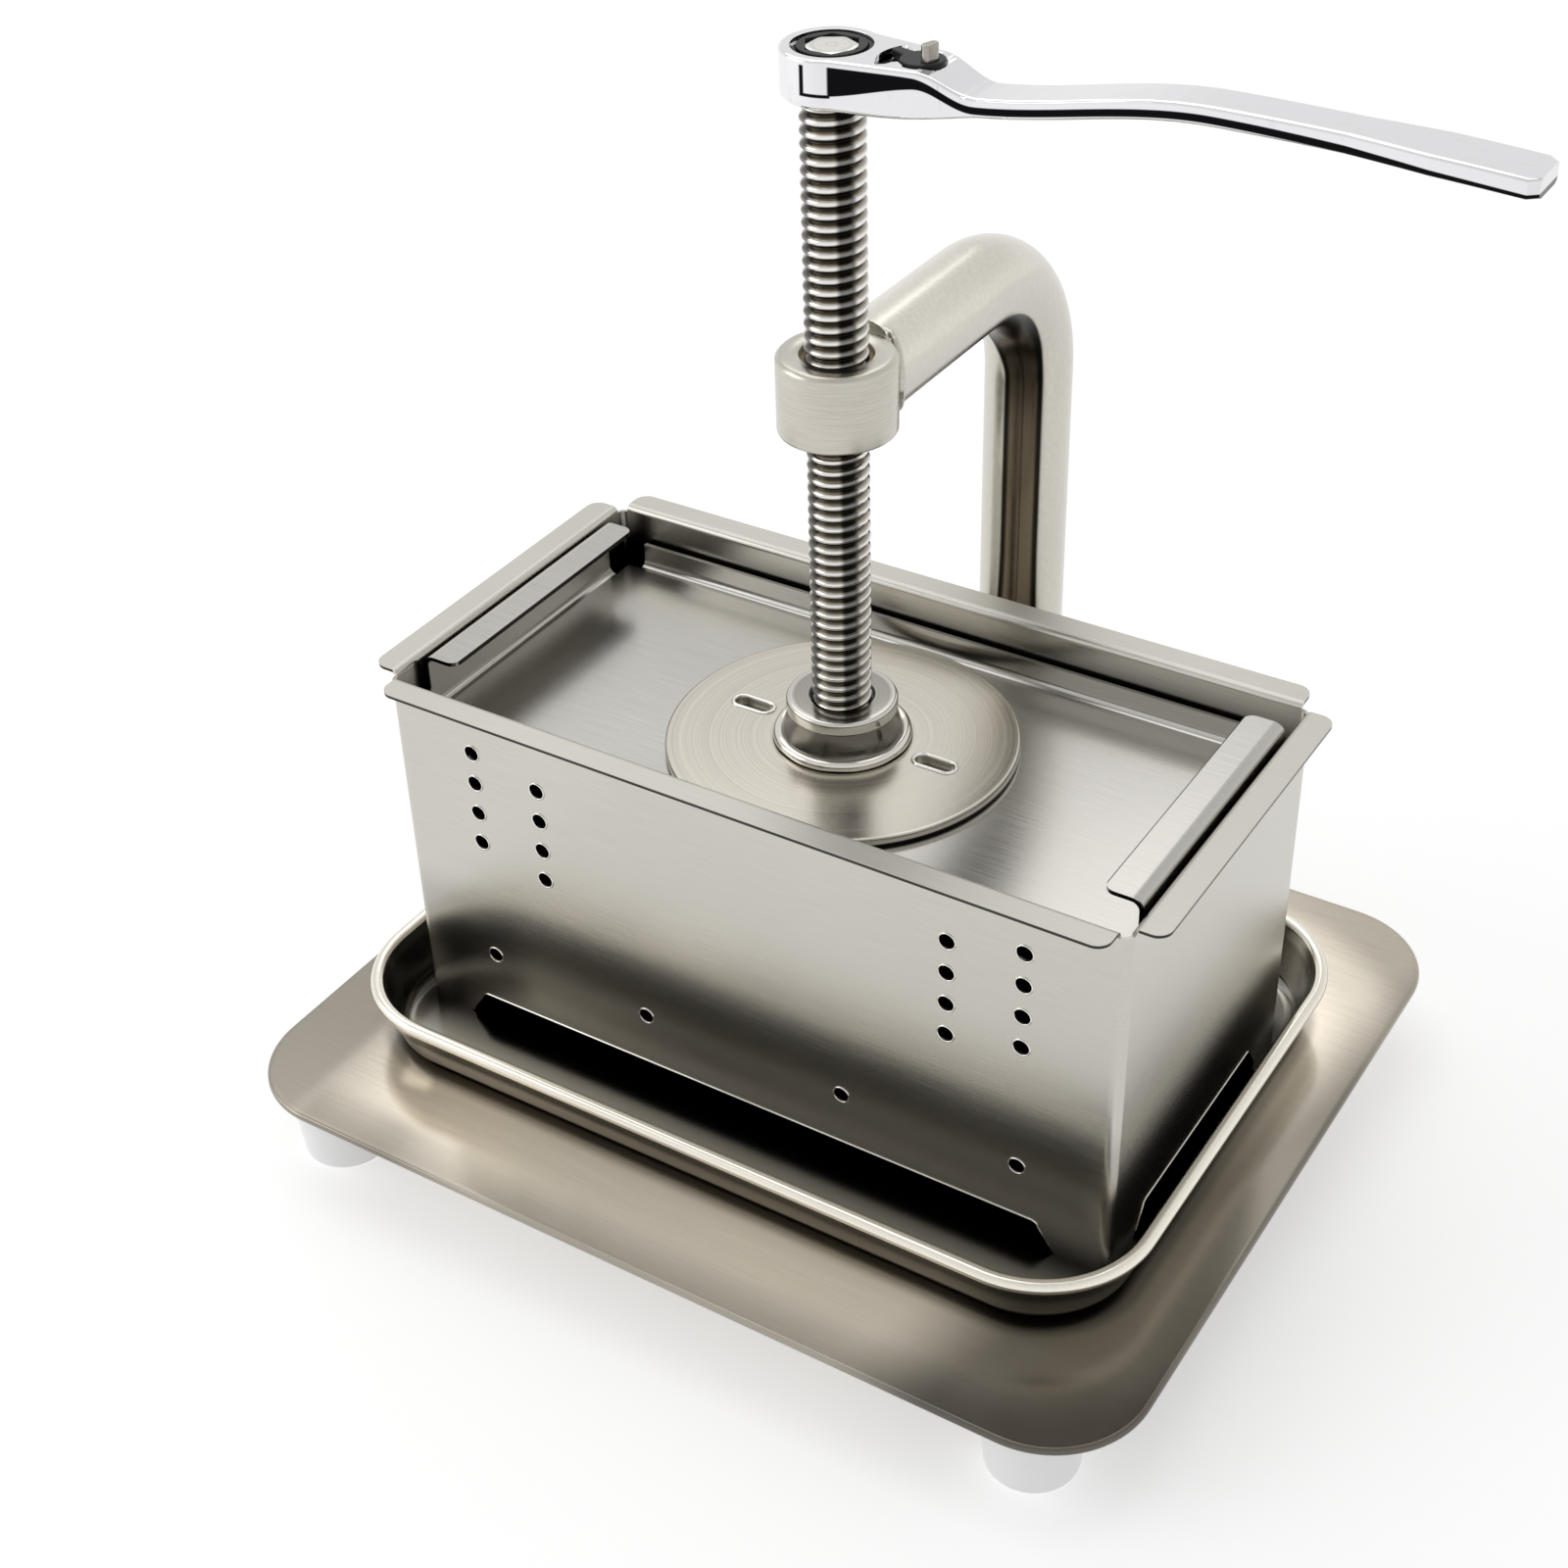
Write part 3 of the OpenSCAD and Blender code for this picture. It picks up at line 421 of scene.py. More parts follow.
def buildRoundBox():
    # Distance in mm from a rectangle with round corners about the screw axis, negative inside: the length
    # of (x, y) beyond the core, less the corner's radius.
    inputs = dict(Vector=None, HalfX=100.0, HalfY=50.0, Corner=3.0)
    group, inp, out = newGroup("roundBox", inputs, "Distance", "Height")
    x, y, z = axesOf(inp["Vector"])
    over = []
    for axis, label in ((x, "HalfX"), (y, "HalfY")):
        size = inMm(calc("ABSOLUTE", axis))
        core = calc("SUBTRACT", inp[label], inp["Corner"])
        over.append(calc("SUBTRACT", size, core))
    outX = calc("MAXIMUM", over[0], 0.0)
    outY = calc("MAXIMUM", over[1], 0.0)
    squares = calc("ADD", product(outX, outX), product(outY, outY))
    inner = calc("MINIMUM", calc("MAXIMUM", over[0], over[1]), 0.0)
    reach = calc("ADD", calc("SQRT", squares), inner)
    feed(calc("SUBTRACT", reach, inp["Corner"]), out["Distance"])
    feed(inMm(z), out["Height"])
    return group


sheetGrain = buildSheetGrain()
turnGrain = buildTurnGrain()
fineSpeck = buildFineSpeck()
pulse = buildPulse()
roundBox = buildRoundBox()
print("shader groups made")


def blendColour(factor, first, second, mode="MIX"):
    # Two colours mixed by a mask; either may be a plain colour or a socket.
    node = addNode(treeOf(factor, first, second), "Mix")
    node.data_type = "RGBA"
    node.blend_type = mode
    feed(factor, node.inputs[0])
    for value, socket in ((first, node.inputs[6]), (second, node.inputs[7])):
        if isinstance(value, tuple):
            socket.default_value = (*value, 1)
        else:
            feed(value, socket)
    return node.outputs[2]


def paintRamp(value, stops):
    # Tones along a value from 0 to 1.
    node = addNode(value.id_data, "ValToRGB")
    node.color_ramp.interpolation = "EASE"
    elements = node.color_ramp.elements
    while len(elements) < len(stops):
        elements.new(0.5)
    for element, (position, tone) in zip(elements, stops):
        element.position = position
        element.color = (*tone, 1) if isinstance(tone, tuple) else (tone, tone, tone, 1)
    feed(value, node.inputs[0])
    return node.outputs[0]


def timesTone(colour, tone):
    # A colour multiplied by a grey tone.
    return blendColour(1.0, colour, tone, "MULTIPLY")


def startMaterial(name, metallic=1.0):
    mat = bpy.data.materials.new(name)
    mat.use_nodes = True
    tree = mat.node_tree
    shader = tree.nodes["Principled BSDF"]
    shader.inputs["Metallic"].default_value = metallic
    coord = addNode(tree, "TexCoord")
    centre = addNode(tree, "Mapping")
    centre.inputs["Location"].default_value = tuple(-axisShift / 1000)
    feed(coord.outputs["Object"], centre.inputs["Vector"])
    return mat, shader, centre.outputs[0]


def attribute(vector, label):
    node = addNode(vector.id_data, "Attribute")
    node.attribute_name = label
    return node.outputs["Fac"]


def bumpFrom(shader, height, strength):
    bump = addNode(height.id_data, "Bump")
    bump.inputs["Strength"].default_value = strength
    bump.inputs["Distance"].default_value = 0.00005
    feed(height, bump.inputs["Height"])
    feed(bump.outputs[0], shader.inputs["Normal"])


def darker(light, contrast):
    return tuple(c * (1 - 2 * contrast) for c in light)


def paintOn(shader, vector, colour, paint):
    # The colour, changed by place if there is a paint function.
    if paint:
        colour = paint(vector, colour)
    feed(colour, shader.inputs["Base Color"])
    return colour


def satin(name, light, rough, stretch=(60, 2600, 2600), clouds=12.0, contrast=0.07, bump=0.05, paint=None,
        pale=None, levelRough=0.0):
    # Satin steel: tone and roughness follow fine scratches and soft clouds. A paint function may change
    # the colour by place, and a pale one the Metallic.
    mat, shader, vector = startMaterial(name)
    grain = place(sheetGrain, Vector=vector, Stretch=stretch, Clouds=clouds)
    both = calc("ADD", product(grain.outputs["Streak"], 0.5), product(grain.outputs["Cloud"], 0.5))
    paintOn(shader, vector, blendColour(both, darker(light, contrast), light), paint)
    if pale:
        feed(pale(vector), shader.inputs["Metallic"])
    roughness = step(both, 0.0, 1.0, rough - 0.02, rough + 0.02)
    if levelRough:
        roughness = calc("ADD", roughness, product(levelFace(vector), levelRough))
    feed(roughness, shader.inputs["Roughness"])
    bumpFrom(shader, grain.outputs["Streak"], bump)
    return mat


def turned(name, light, rough, pitch=2400.0, contrast=0.07, bump=0.05, paint=None):
    # Turned metal: rings round the screw axis in tone, roughness and relief.
    mat, shader, vector = startMaterial(name)
    ring = place(turnGrain, Vector=vector, Pitch=pitch)
    colour = blendColour(ring.outputs["Ring"], darker(light, contrast), light)
    paintOn(shader, vector, colour, paint)
    rings = step(ring.outputs["Ring"], 0.0, 1.0, rough - 0.03, rough + 0.03)
    feed(rings, shader.inputs["Roughness"])
    bumpFrom(shader, ring.outputs["Ring"], bump)
    return mat


def speckled(name, metallic, light, dark, rough, size=260.0, rarity=0.6, bump=0.1, paint=None, shine=0.5,
        glow=0.0):
    # Plastic, oxide or plating with faint specks. A glow lifts white plastic that stands in shade.
    mat, shader, vector = startMaterial(name, metallic)
    shader.inputs["Specular IOR Level"].default_value = shine
    speck = place(fineSpeck, Vector=vector, Size=size, Rarity=rarity)
    colour = paintOn(shader, vector, blendColour(speck.outputs[0], light, dark), paint)
    if glow:
        feed(colour, shader.inputs["Emission Color"])
        shader.inputs["Emission Strength"].default_value = glow
    feed(step(speck.outputs[0], 0.0, 1.0, rough, rough + 0.12), shader.inputs["Roughness"])
    bumpFrom(shader, speck.outputs[0], bump)
    return mat


def facingUp(vector):
    # The height of the object's own normal: 1 on level faces, 0 on walls.
    coord = addNode(vector.id_data, "TexCoord")
    return axesOf(coord.outputs["Normal"])[2]


def levelFace(vector):
    # One on faces that look up, nought on walls.
    return step(facingUp(vector), 0.75, 0.95)


def greyOf(value):
    grey = addNode(value.id_data, "CombineColor")
    for socket in grey.inputs[:3]:
        feed(value, socket)
    return grey.outputs[0]


boxZone = dict(HalfX=110.5, HalfY=54.5, Corner=3.0)  # the box's walls
underZone = dict(HalfX=111.0, HalfY=55.0, Corner=3.0)  # the tray's floor under the box
trayZone = dict(HalfX=117.0, HalfY=81.0, Corner=27.0)  # the tray's foot on the base plate


def paintBox(vector, colour):
    # Painted shade makes the inside dark below the rim, a painted reflection darkens the outside in a band
    # above the tray, level faces get a little painted shade, and the flanges' edges have a painted shadow
    # line.
    box = place(roundBox, Vector=vector, **boxZone)
    away, height = box.outputs["Distance"], box.outputs["Height"]
    # Painted shade inside the box below the rim.
    deep = product(step(away, 0.3, -0.3), step(height, 137.6, 124.0))
    # Painted reflection of the tray: a darker band on the outside above it.
    paintedReflectionBand = paintRamp(calc("DIVIDE", height, 140.0),
        [(0.20, 1.0), (0.27, 0.9), (0.36, 0.62), (0.46, 0.8), (0.56, 1.0)])
    # A little painted shade on level faces.
    level = greyOf(step(levelFace(vector), 0.0, 1.0, 1.0, 0.9))
    outer = timesTone(timesTone(colour, paintedReflectionBand), level)
    # A painted shadow line on the flanges' edges.
    line = product(step(away, 0.8, 1.2), between(height, 137.5, 138.38, 0.1), lessOf(levelFace(vector)))
    outer = blendColour(line, outer, (0.05, 0.048, 0.043))
    return blendColour(deep, outer, (0.022, 0.021, 0.019))


def paintPlate(vector, colour):
    # A painted shadow line along the sheet edge of each handle's lip and down its front end.
    x, y, z = axesOf(vector)
    along = inMm(calc("ABSOLUTE", x))
    edge = product(step(along, 97.9, 97.6), step(z, 0.1368, 0.1372))
    front = product(lessOf(levelFace(vector)), step(y, -0.0419, -0.0422), step(z, 0.1275, 0.1285))
    return blendColour(calc("MAXIMUM", edge, front), colour, (0.03, 0.029, 0.027))


def paintTray(vector, colour):
    # Painted light and shade along the profile: darker outer fold, outer wall, a painted highlight on the
    # rim, painted shade on the inner wall and floor. Painted shadow makes the floor black under the box.
    at = attribute(vector, "profileAt")
    tone = paintRamp(at, [(0.0, 0.25), (0.12, 0.35), (0.18, 0.8), (0.36, 0.95), (0.44, 1.6),
        (0.62, 1.6), (0.66, 0.8), (0.8, 0.75), (1.0, 0.7)])
    # Painted shadow on the tray's floor under the box.
    box = place(roundBox, Vector=vector, **underZone)
    under = step(box.outputs["Distance"], 20.0, 0.0)
    floorAt = step(box.outputs["Height"], 30.0, 26.0)
    shade = product(under, floorAt, step(at, 0.63, 0.65))
    return blendColour(shade, timesTone(colour, tone), (0.02, 0.019, 0.017))


def paintBase(vector, colour):
    # Painted reflection and shade: dark where the plate meets the tray, then a painted bright sweep. Darker
    # to the left, in a patch at the front left edge and in the front right corner.
    x, y = axesOf(vector)[:2]
    box = place(roundBox, Vector=vector, **trayZone)
    away = calc("DIVIDE", box.outputs["Distance"], 40.0)
    # Painted reflection of the tray, then a painted bright sweep.
    near = paintRamp(away, [(0.0, 0.42), (0.05, 0.7), (0.14, 1.25), (0.45, 1.15), (0.85, 0.72)])
    near = blendColour(step(x, -0.108, -0.118), near, (1.0, 1.0, 1.0))
    slant = calc("SUBTRACT", product(x, 0.95), product(y, 0.3))
    # Painted shade in the front right corner, to the left and in a patch at the front left edge.
    corner = step(slant, 0.092, 0.122, 1.0, 0.26)
    left = step(x, -0.07, -0.12, 1.0, 0.55)
    shadePatch = between(x, -0.098, -0.066, 0.02)
    shadeDip = lessOf(product(shadePatch, step(y, -0.094, -0.106, 0.0, 0.5)))
    tone = greyOf(product(corner, left, shadeDip))
    return timesTone(timesTone(colour, near), tone)


def paleSweep(vector):
    # Less of a mirror in the middle of the plate's front and at its left end, where it looks pale.
    x, y = axesOf(vector)[:2]
    middle = between(x, -0.055, 0.1, 0.03)
    front = step(y, -0.081, -0.087)
    sweep = product(middle, front, 0.85)
    left = step(x, -0.112, -0.118, 0.0, 0.6)
    return lessOf(calc("MAXIMUM", sweep, left))


def paintTube(vector, colour):
    # The tube's inner side mirrors the dark box: a brown band with black edges up the post, black at
    # its foot, that turns into a thin line under the arm. Angles in degrees from the inner side. Post and
    # bend are the parts of the run where the band's sides move.
    post, bend = (0.1, 0.42), (0.6, 0.8)
    out, side, run = (attribute(vector, k) for k in ("ringOut", "ringSide", "runAt"))
    angle = product(calc("ARCTAN2", side, product(out, -1.0)), math.degrees(1))
    left = calc("ADD", step(run, *post, -24.0, -5.0), step(run, *bend, 0.0, -40.0))
    right = calc("ADD", step(run, *post, 56.0, 46.0), step(run, *bend, 0.0, 13.0))
    paintedReflectionBand = between(angle, left, right, 2.2)
    width = calc("SUBTRACT", right, left)
    at = calc("DIVIDE", calc("SUBTRACT", angle, left), width)
    lines = paintRamp(at, [(0.0, 0.05), (0.10, 0.12), (0.2, 1.0), (0.45, 0.9), (0.5, 0.45),
        (0.55, 0.9), (0.8, 1.0), (0.9, 0.12), (1.0, 0.05)])
    foot = paintRamp(run, [(0.0, 0.06), (0.22, 0.08), (0.40, 0.9), (0.54, 1.0), (0.62, 0.25),
        (0.75, 0.1), (1.0, 0.1)])
    brown = blendColour(foot, (0.012, 0.011, 0.009), (0.25, 0.205, 0.15))
    arm = step(run, 0.62, 0.85)
    upper = step(out, -0.6, 0.6, 0.66, 1.0)
    shade = calc("ADD", product(arm, upper), product(lessOf(arm), 0.84))
    body = timesTone(colour, greyOf(shade))
    return blendColour(paintedReflectionBand, body, timesTone(brown, lines))


def paintDisc(vector, colour):
    # A painted shadow line low on the disc's edge, where it lifts off the plate, and painted shade round the
    # hub's bead.
    height = place(roundBox, Vector=vector).outputs["Height"]
    radius = place(turnGrain, Vector=vector).outputs["Radius"]
    gap = product(step(radius, 47.4, 47.8), step(height, 122.7, 122.3))
    foot = between(radius, 17.0, 18.9, 0.25)
    return blendColour(calc("MAXIMUM", gap, foot), colour, (0.008, 0.008, 0.007))


def paintHub(vector, colour):
    # Bright rim and foot, painted shade on the cone between them, and painted shade at the edge of the bore.
    height = place(roundBox, Vector=vector).outputs["Height"]
    cone = between(height, 126.2, 133.8, 0.3)
    radius = place(turnGrain, Vector=vector).outputs["Radius"]
    boreShade = product(step(radius, 13.9, 12.6), 0.5)
    dark = calc("MAXIMUM", product(cone, 0.78), boreShade)
    return blendColour(dark, colour, (0.10, 0.09, 0.075))


def paintThread(vector, colour):
    # A painted highlight on the crests and painted shade in the grooves by radius, with soft stripes of
    # painted
    # reflection down the length: the sine of the angle round the axis x their number + a start angle.
    stripes, turnedBy, rootR, deep = 4.0, 4.154, 6.5, 1.5
    radius = place(turnGrain, Vector=vector).outputs["Radius"]
    x, y = axesOf(vector)[:2]
    angle = product(calc("ARCTAN2", y, x), stripes)
    wave = calc("SINE", calc("ADD", angle, turnedBy))
    # Painted reflection: dark stripes down the screw.
    reflectionStripe = product(step(wave, 0.0, 0.75), 0.8)
    colour = blendColour(reflectionStripe, colour, (0.06, 0.055, 0.05))
    height = calc("DIVIDE", calc("SUBTRACT", radius, rootR), deep)
    return timesTone(colour, paintRamp(height, [(0.0, 0.02), (0.12, (0.07, 0.06, 0.05)),
        (0.4, (0.36, 0.33, 0.28)), (0.75, (0.62, 0.59, 0.54)), (0.95, 1.0)]))


def paintWrench(vector, colour):
    # Painted reflection on the plated steel, as of a bright room: white rounds, a black band down its sides,
    # a line round a pale block on the head. Depth is measured under the upper face: neck, climb of the
    # shank, sag of the tip.
    line, soft = wrenchLine, 0.12
    crestX, tipX, sag = line["shankAt"] + line["crest"] * line["shankLong"], 200.0, -5.0
    x, y, z = (inMm(axis) for axis in axesOf(vector))
    neck = step(x, *line["neck"], line["headTop"], line["headTop"] - line["drop"])
    climb = step(x, line["shankAt"], crestX, 0.0, line["rise"])
    top = calc("ADD", calc("ADD", neck, climb), step(x, crestX, tipX, 0.0, sag))
    depth = calc("SUBTRACT", top, z)
    low = step(x, 20.0, 38.0, 1.3, 1.9)
    reach = step(x, 0.0, 30.0, 8.4, 3.6)
    paintedReflectionBand = between(depth, low, reach, soft)
    across = calc("SUBTRACT", product(x, 0.839), product(calc("ABSOLUTE", y), 0.545))
    edge = between(across, -7.7, -6.8, 0.15)
    block = step(across, -1.9, -1.3)
    foot = between(depth, 7.6, 8.4, soft)
    under = between(across, -7.7, -1.0, 0.2)
    # Painted reflection: the dark band, the edge line, the block and the line at its foot.
    dark = product(paintedReflectionBand, calc("MAXIMUM", edge, block))
    dark = calc("MAXIMUM", dark, product(foot, under))
    flat = step(calc("ABSOLUTE", facingUp(vector)), 0.75, 0.55)
    return blendColour(product(dark, flat), colour, (0.006, 0.006, 0.007))


finish = {
    "satin_steel": satin("satinSteel", (0.76, 0.69, 0.58), 0.18, paint=paintBase, pale=paleSweep),
    "white_plastic": speckled("whitePlastic", 0.0, (0.80, 0.80, 0.80), (0.72, 0.72, 0.72), 0.4, glow=0.3),
    "plain_steel": turned("plainSteel", (0.60, 0.60, 0.60), 0.26),
    "arm_steel": satin("armSteel", (0.77, 0.74, 0.665), 0.24, (900, 900, 500), paint=paintTube),
    "weld_steel": speckled("weldSteel", 1.0, (0.72, 0.69, 0.63), (0.4, 0.37, 0.32), 0.12, 900.0, 0.66),
    "bronze": turned("bronze", (0.16, 0.12, 0.07), 0.35),
    "tray_steel": satin("traySteel", (0.56, 0.53, 0.47), 0.20, paint=paintTray),
    "box_steel": satin("boxSteel", (0.64, 0.62, 0.565), 0.24, paint=paintBox, levelRough=0.2),
    "plate_steel": satin("plateSteel", (0.56, 0.545, 0.51), 0.22, paint=paintPlate),
    "disc_steel": turned("discSteel", (0.60, 0.565, 0.50), 0.24, paint=paintDisc),
    "screw_steel": turned("screwSteel", (0.86, 0.85, 0.82), 0.12, paint=paintThread),
    "spring_steel": turned("springSteel", (0.3, 0.3, 0.31), 0.28),
    "black_steel": speckled("blackSteel", 0.0, (0.012, 0.012, 0.013), (0.03, 0.03, 0.032), 0.42, 700.0, 0.5,
        shine=0.2),
    "wrench_chrome": speckled("wrenchChrome", 1.0, (0.80, 0.80, 0.815), (0.74, 0.74, 0.75), 0.07, 300.0,
        0.6, 0.02, paintWrench),
}
# A brighter copy of the steel for the drain rims, arch edge wires and slot lips: real thin rims with a
# painted highlight.
lipHighlightSteel = turned("lipHighlightSteel", (0.84, 0.82, 0.77), 0.12)
tabSteel = turned("tabSteel", (0.42, 0.39, 0.35), 0.2)
collarSteel = satin("collarSteel", (0.64, 0.61, 0.545), 0.26, (120, 120, 2600), contrast=0.12)
hubSteel = turned("hubSteel", (0.66, 0.64, 0.59), 0.18, paint=paintHub)
driveSteel = turned("driveSteel", (0.74, 0.73, 0.68), 0.22, 1200.0)
slotOf = {s["node"]: s["material_slot"] for s in frame["record"]["subparts"]}
bodyOf = {n: b for b, members in frame["record"]["behaviour"]["bodies"].items() for n in members}


def dress(piece, node, look=None):
    # Gives a new piece the body, slot and finish of the node that it stands for.
    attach(piece, bodyOf[node])
    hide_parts(node)
    piece.data.materials.clear()
    piece.data.materials.append(look or finish[slotOf[node]])
    return piece


for nodeName, nodeObject in nodes.items():
    nodeObject.data.materials.clear()
    nodeObject.data.materials.append(finish[slotOf[nodeName]])
print("finishes made:", len(finish))

basePlate = dict(length=277, width=236, midY=3, low=22, high=24.5, corner=28, edge=1.1, lap=0.8)


def makeBasePlate(p):
    # The edge's half-round profile carried round the rounded rectangle, closed above and below.
    r, inner = p["edge"], -p["edge"] - p["lap"]
    top = arc(-r, p["high"] - r, r, 90, 0, 6)
    low = arc(-r, p["low"] + r, r, 0, -90, 6)
    profile = np.concatenate([[(inner, p["high"])], top, low, [(inner, p["low"])]])
    path, norms = roundRectPath(p["length"], p["width"], p["corner"], 24, 10)
    return gridMesh("base_sheet", alongPath(path, norms, profile, (0, p["midY"])), wrapU=True, capV=True)


dress(tidyMesh(makeBasePlate(basePlate)), "base_plate")

footShape = dict(floorD=25, topD=28.4, height=22, edge=1.2, topEdge=0.6, pocketD=11.5, mouth=0.5, web=10,
    studD=5.6)
footSpots = dict(foot_front_left=(-112, -97), foot_front_right=(112, -97), foot_back_left=(-112, 103),
    foot_back_right=(112, 103))


def makeFoot(name, x, y, p):
    # A turned profile: rounded floor edge, tapered side, pocket from below and bore for the stud.
    rf, rt, h, e, u = p["floorD"] / 2, p["topD"] / 2, p["height"], p["edge"], p["topEdge"]
    rp, rs, m = p["pocketD"] / 2, p["studD"] / 2, p["mouth"]
    floorZ = h - p["web"]
    profile = np.concatenate([
        [(rs, floorZ), (rp, floorZ), (rp, m), (rp + m, 0)],
        arc(rf - e, e, e, -90, 0, 6),
        arc(rt - u, h - u, u, 0, 90, 4),
        [(rs, h)]])
    return gridMesh(name, latheGrid(profile, 72, (x, y)), wrapU=True, wrapV=True)


for node, (x, y) in footSpots.items():
    dress(tidyMesh(makeFoot(node + "_turned", x, y, footShape)), node)

trayShape = dict(length=240, width=168, low=24.5, height=20, sheet=1.0, lean=3, fold=5, lap=2, bead=4.0,
    curl=(-60, 180), corner=30)


def makeTray(p):
    # Floor, fold, leaning wall and rolled bead as one closed section, carried round the rim's outline.
    t, f, b = p["sheet"], p["fold"], p["bead"] / 2
    z0, foldAt = p["low"], -p["lean"] - f
    wallTop, floorAt = z0 + p["height"] - b, foldAt - p["lap"]
    outer = arc(foldAt, z0 + f, f, -90, 0, 8)
    rim = arc(b - t, wallTop, b, *p["curl"], 20)
    inner = arc(foldAt, z0 + f, f - t, 0, -90, 8)
    profile = np.concatenate([[(floorAt, z0)], outer, rim, inner, [(floorAt, z0 + t)]])
    at = runAlong(profile)
    path, norms = roundRectPath(p["length"], p["width"], p["corner"], 28, 12)
    return gridMesh("tray_pressed", alongPath(path, norms, profile), wrapU=True, capV=True,
        marks={"profileAt": at[None, :] / at[-1]})


dress(tidyMesh(makeTray(trayShape), 40), "drip_tray")

armShape = dict(d=25, reach=104, bend=38, z=226.8, low=24.5, collarD=30.5, cope=0.4, runEnd=40, last=25)


def makeArm(p):
    # A circle carried up the post, round the bend and along the arm: centre + r (cos a out + sin a side).
    # Its last ring is coped to the collar. The materials read the angle round it and the part of its run.
    r, bend = p["d"] / 2, p["bend"]
    up = p["z"] - bend
    post = np.linspace(p["low"], up, 12)[:-1]
    turn = np.radians(np.linspace(0, 90, 33))
    run = np.linspace(p["reach"] - bend, p["runEnd"], 6)[1:]
    centre = np.concatenate([
        np.stack([0 * post, 0 * post + p["reach"], post], -1),
        np.stack([0 * turn, p["reach"] - bend + bend * np.cos(turn), up + bend * np.sin(turn)], -1),
        np.stack([0 * run, run, 0 * run + p["z"]], -1)])
    out = np.concatenate([
        np.tile([0.0, 1.0, 0.0], (len(post), 1)),
        np.stack([0 * turn, np.cos(turn), np.sin(turn)], -1),
        np.tile([0.0, 0.0, 1.0], (len(run), 1))])
    a = fullTurn(72)
    side = np.array([1.0, 0, 0])
    rings = centre[:, None] + r * (np.cos(a)[None, :, None] * out[:, None]
        + np.sin(a)[None, :, None] * side)
    copeR = p["collarD"] / 2 - p["cope"]
    x = r * np.sin(a)
    end = np.stack([x, np.sqrt(np.maximum(copeR ** 2 - x ** 2, 0)), p["z"] + r * np.cos(a)], -1)
    rings = np.concatenate([rings, end[None]])
    at = runAlong(centre)
    at = np.append(at, at[-1] + p["last"])
    return gridMesh("arm_bent", rings, wrapV=True, capU=True, marks={
        "ringOut": np.cos(a)[None, :], "ringSide": np.sin(a)[None, :], "runAt": at[:, None] / at[-1]})


dress(tidyMesh(makeArm(armShape), 50), "arm_tube")

collarShape = dict(d=30.5, h=20.5, z=216.55, bush=24, lip=1.5, gap=1.3, screw=16, edge=0.3, round=0.7)


def makeCollar(p):
    # Turned section with a wide top chamfer, a round lower edge, the bush's bore and the top lip.
    r, h, z = p["d"] / 2, p["h"], p["z"]
    rb, rl = p["bush"] / 2, p["screw"] / 2 + p["gap"]
    under, e, low = h - p["lip"], p["edge"], p["round"]
    profile = np.concatenate([
        [(rb, 0), (rb, under), (rl, under), (rl, h - e), (rl + e, h)],
        [(r - 1.3, h), (r - 1.05, h - 0.08), (r - 0.12, h - 0.95), (r, h - 1.25)],
        arc(r - low, low, low, 0, -90, 5)]) + np.array([0, z])
    return gridMesh("collar_turned", latheGrid(profile, 128), wrapU=True, wrapV=True)


dress(tidyMesh(makeCollar(collarShape), 50), "collar", collarSteel)


def makeBead(name, centre, out, up, radius, ripples, depth):
    # A tube along a closed line, in the given directions. Its radius is r (1 + depth (sin(ripples x
    # angle) + 0.4 sin(twice that + 1))).
    k = fullTurn(len(centre))
    a = fullTurn(12)
    size = radius * (1 + depth * np.sin(ripples * k) + 0.4 * depth * np.sin(2 * ripples * k + 1))
    ring = np.cos(a)[None, :, None] * out[:, None] + np.sin(a)[None, :, None] * up[:, None]
    return gridMesh(name, centre[:, None] + size[:, None, None] * ring, wrapU=True, wrapV=True)


def flatBead(name, centre, ringR, radius, ripples, depth):
    # A bead in a circle round a vertical axis.
    k = fullTurn(240)
    out = np.stack([np.cos(k), np.sin(k), 0 * k], -1)
    up = np.tile([0.0, 0, 1], (len(k), 1))
    return makeBead(name, np.array(centre) + ringR * out, out, up, radius, ripples, depth)


collarLine = dict(halfX=12.6, halfZ=12.3, limit=10.6, collarR=15.4, off=0.5, z=226.8, lean=0.25, r=1.2,
    ripples=36, depth=0.03)


def collarBead(p):
    # Where tube and collar meet: x = half width x sin k, y on the collar, z = half height x cos k, limited.
    k = fullTurn(240)
    x = p["halfX"] * np.sin(k)
    z = np.clip(p["halfZ"] * np.cos(k), -p["limit"], p["limit"])
    y = np.sqrt(p["collarR"] ** 2 - x ** 2) + p["off"]
    centre = np.stack([x, y, p["z"] + z], -1)
    out = np.stack([np.sin(k), p["lean"] + 0 * k, np.cos(k)], -1)
    out /= np.linalg.norm(out, axis=1)[:, None]
    along = np.roll(centre, -1, 0) - np.roll(centre, 1, 0)
    along /= np.linalg.norm(along, axis=1)[:, None]
    up = np.cross(along, out)
    return makeBead("collar_bead", centre, out, up, p["r"], p["ripples"], p["depth"])


postBead = flatBead("post_bead", (0, 104, 24.9), ringR=12.9, radius=1.9, ripples=44, depth=0.045)
dress(tidyMesh(postBead, 60), "post_weld")
dress(tidyMesh(collarBead(collarLine), 60), "collar_weld", collarSteel)
print("stand made")

edgeRounds = dict(box_shell=0.4, strainer_floor=0.25, press_plate=0.35, pressure_disc=0.5,
    ratchet_ring=0.15, selector_lever=0.35, thumb_tab=0.35)
for node, width in edgeRounds.items():
    dress(dressedCopy(node, width), node, tabSteel if node == "thumb_tab" else None)
dress(roundWrench("wrench_body", wrenchRounds["width"]), "wrench_body")

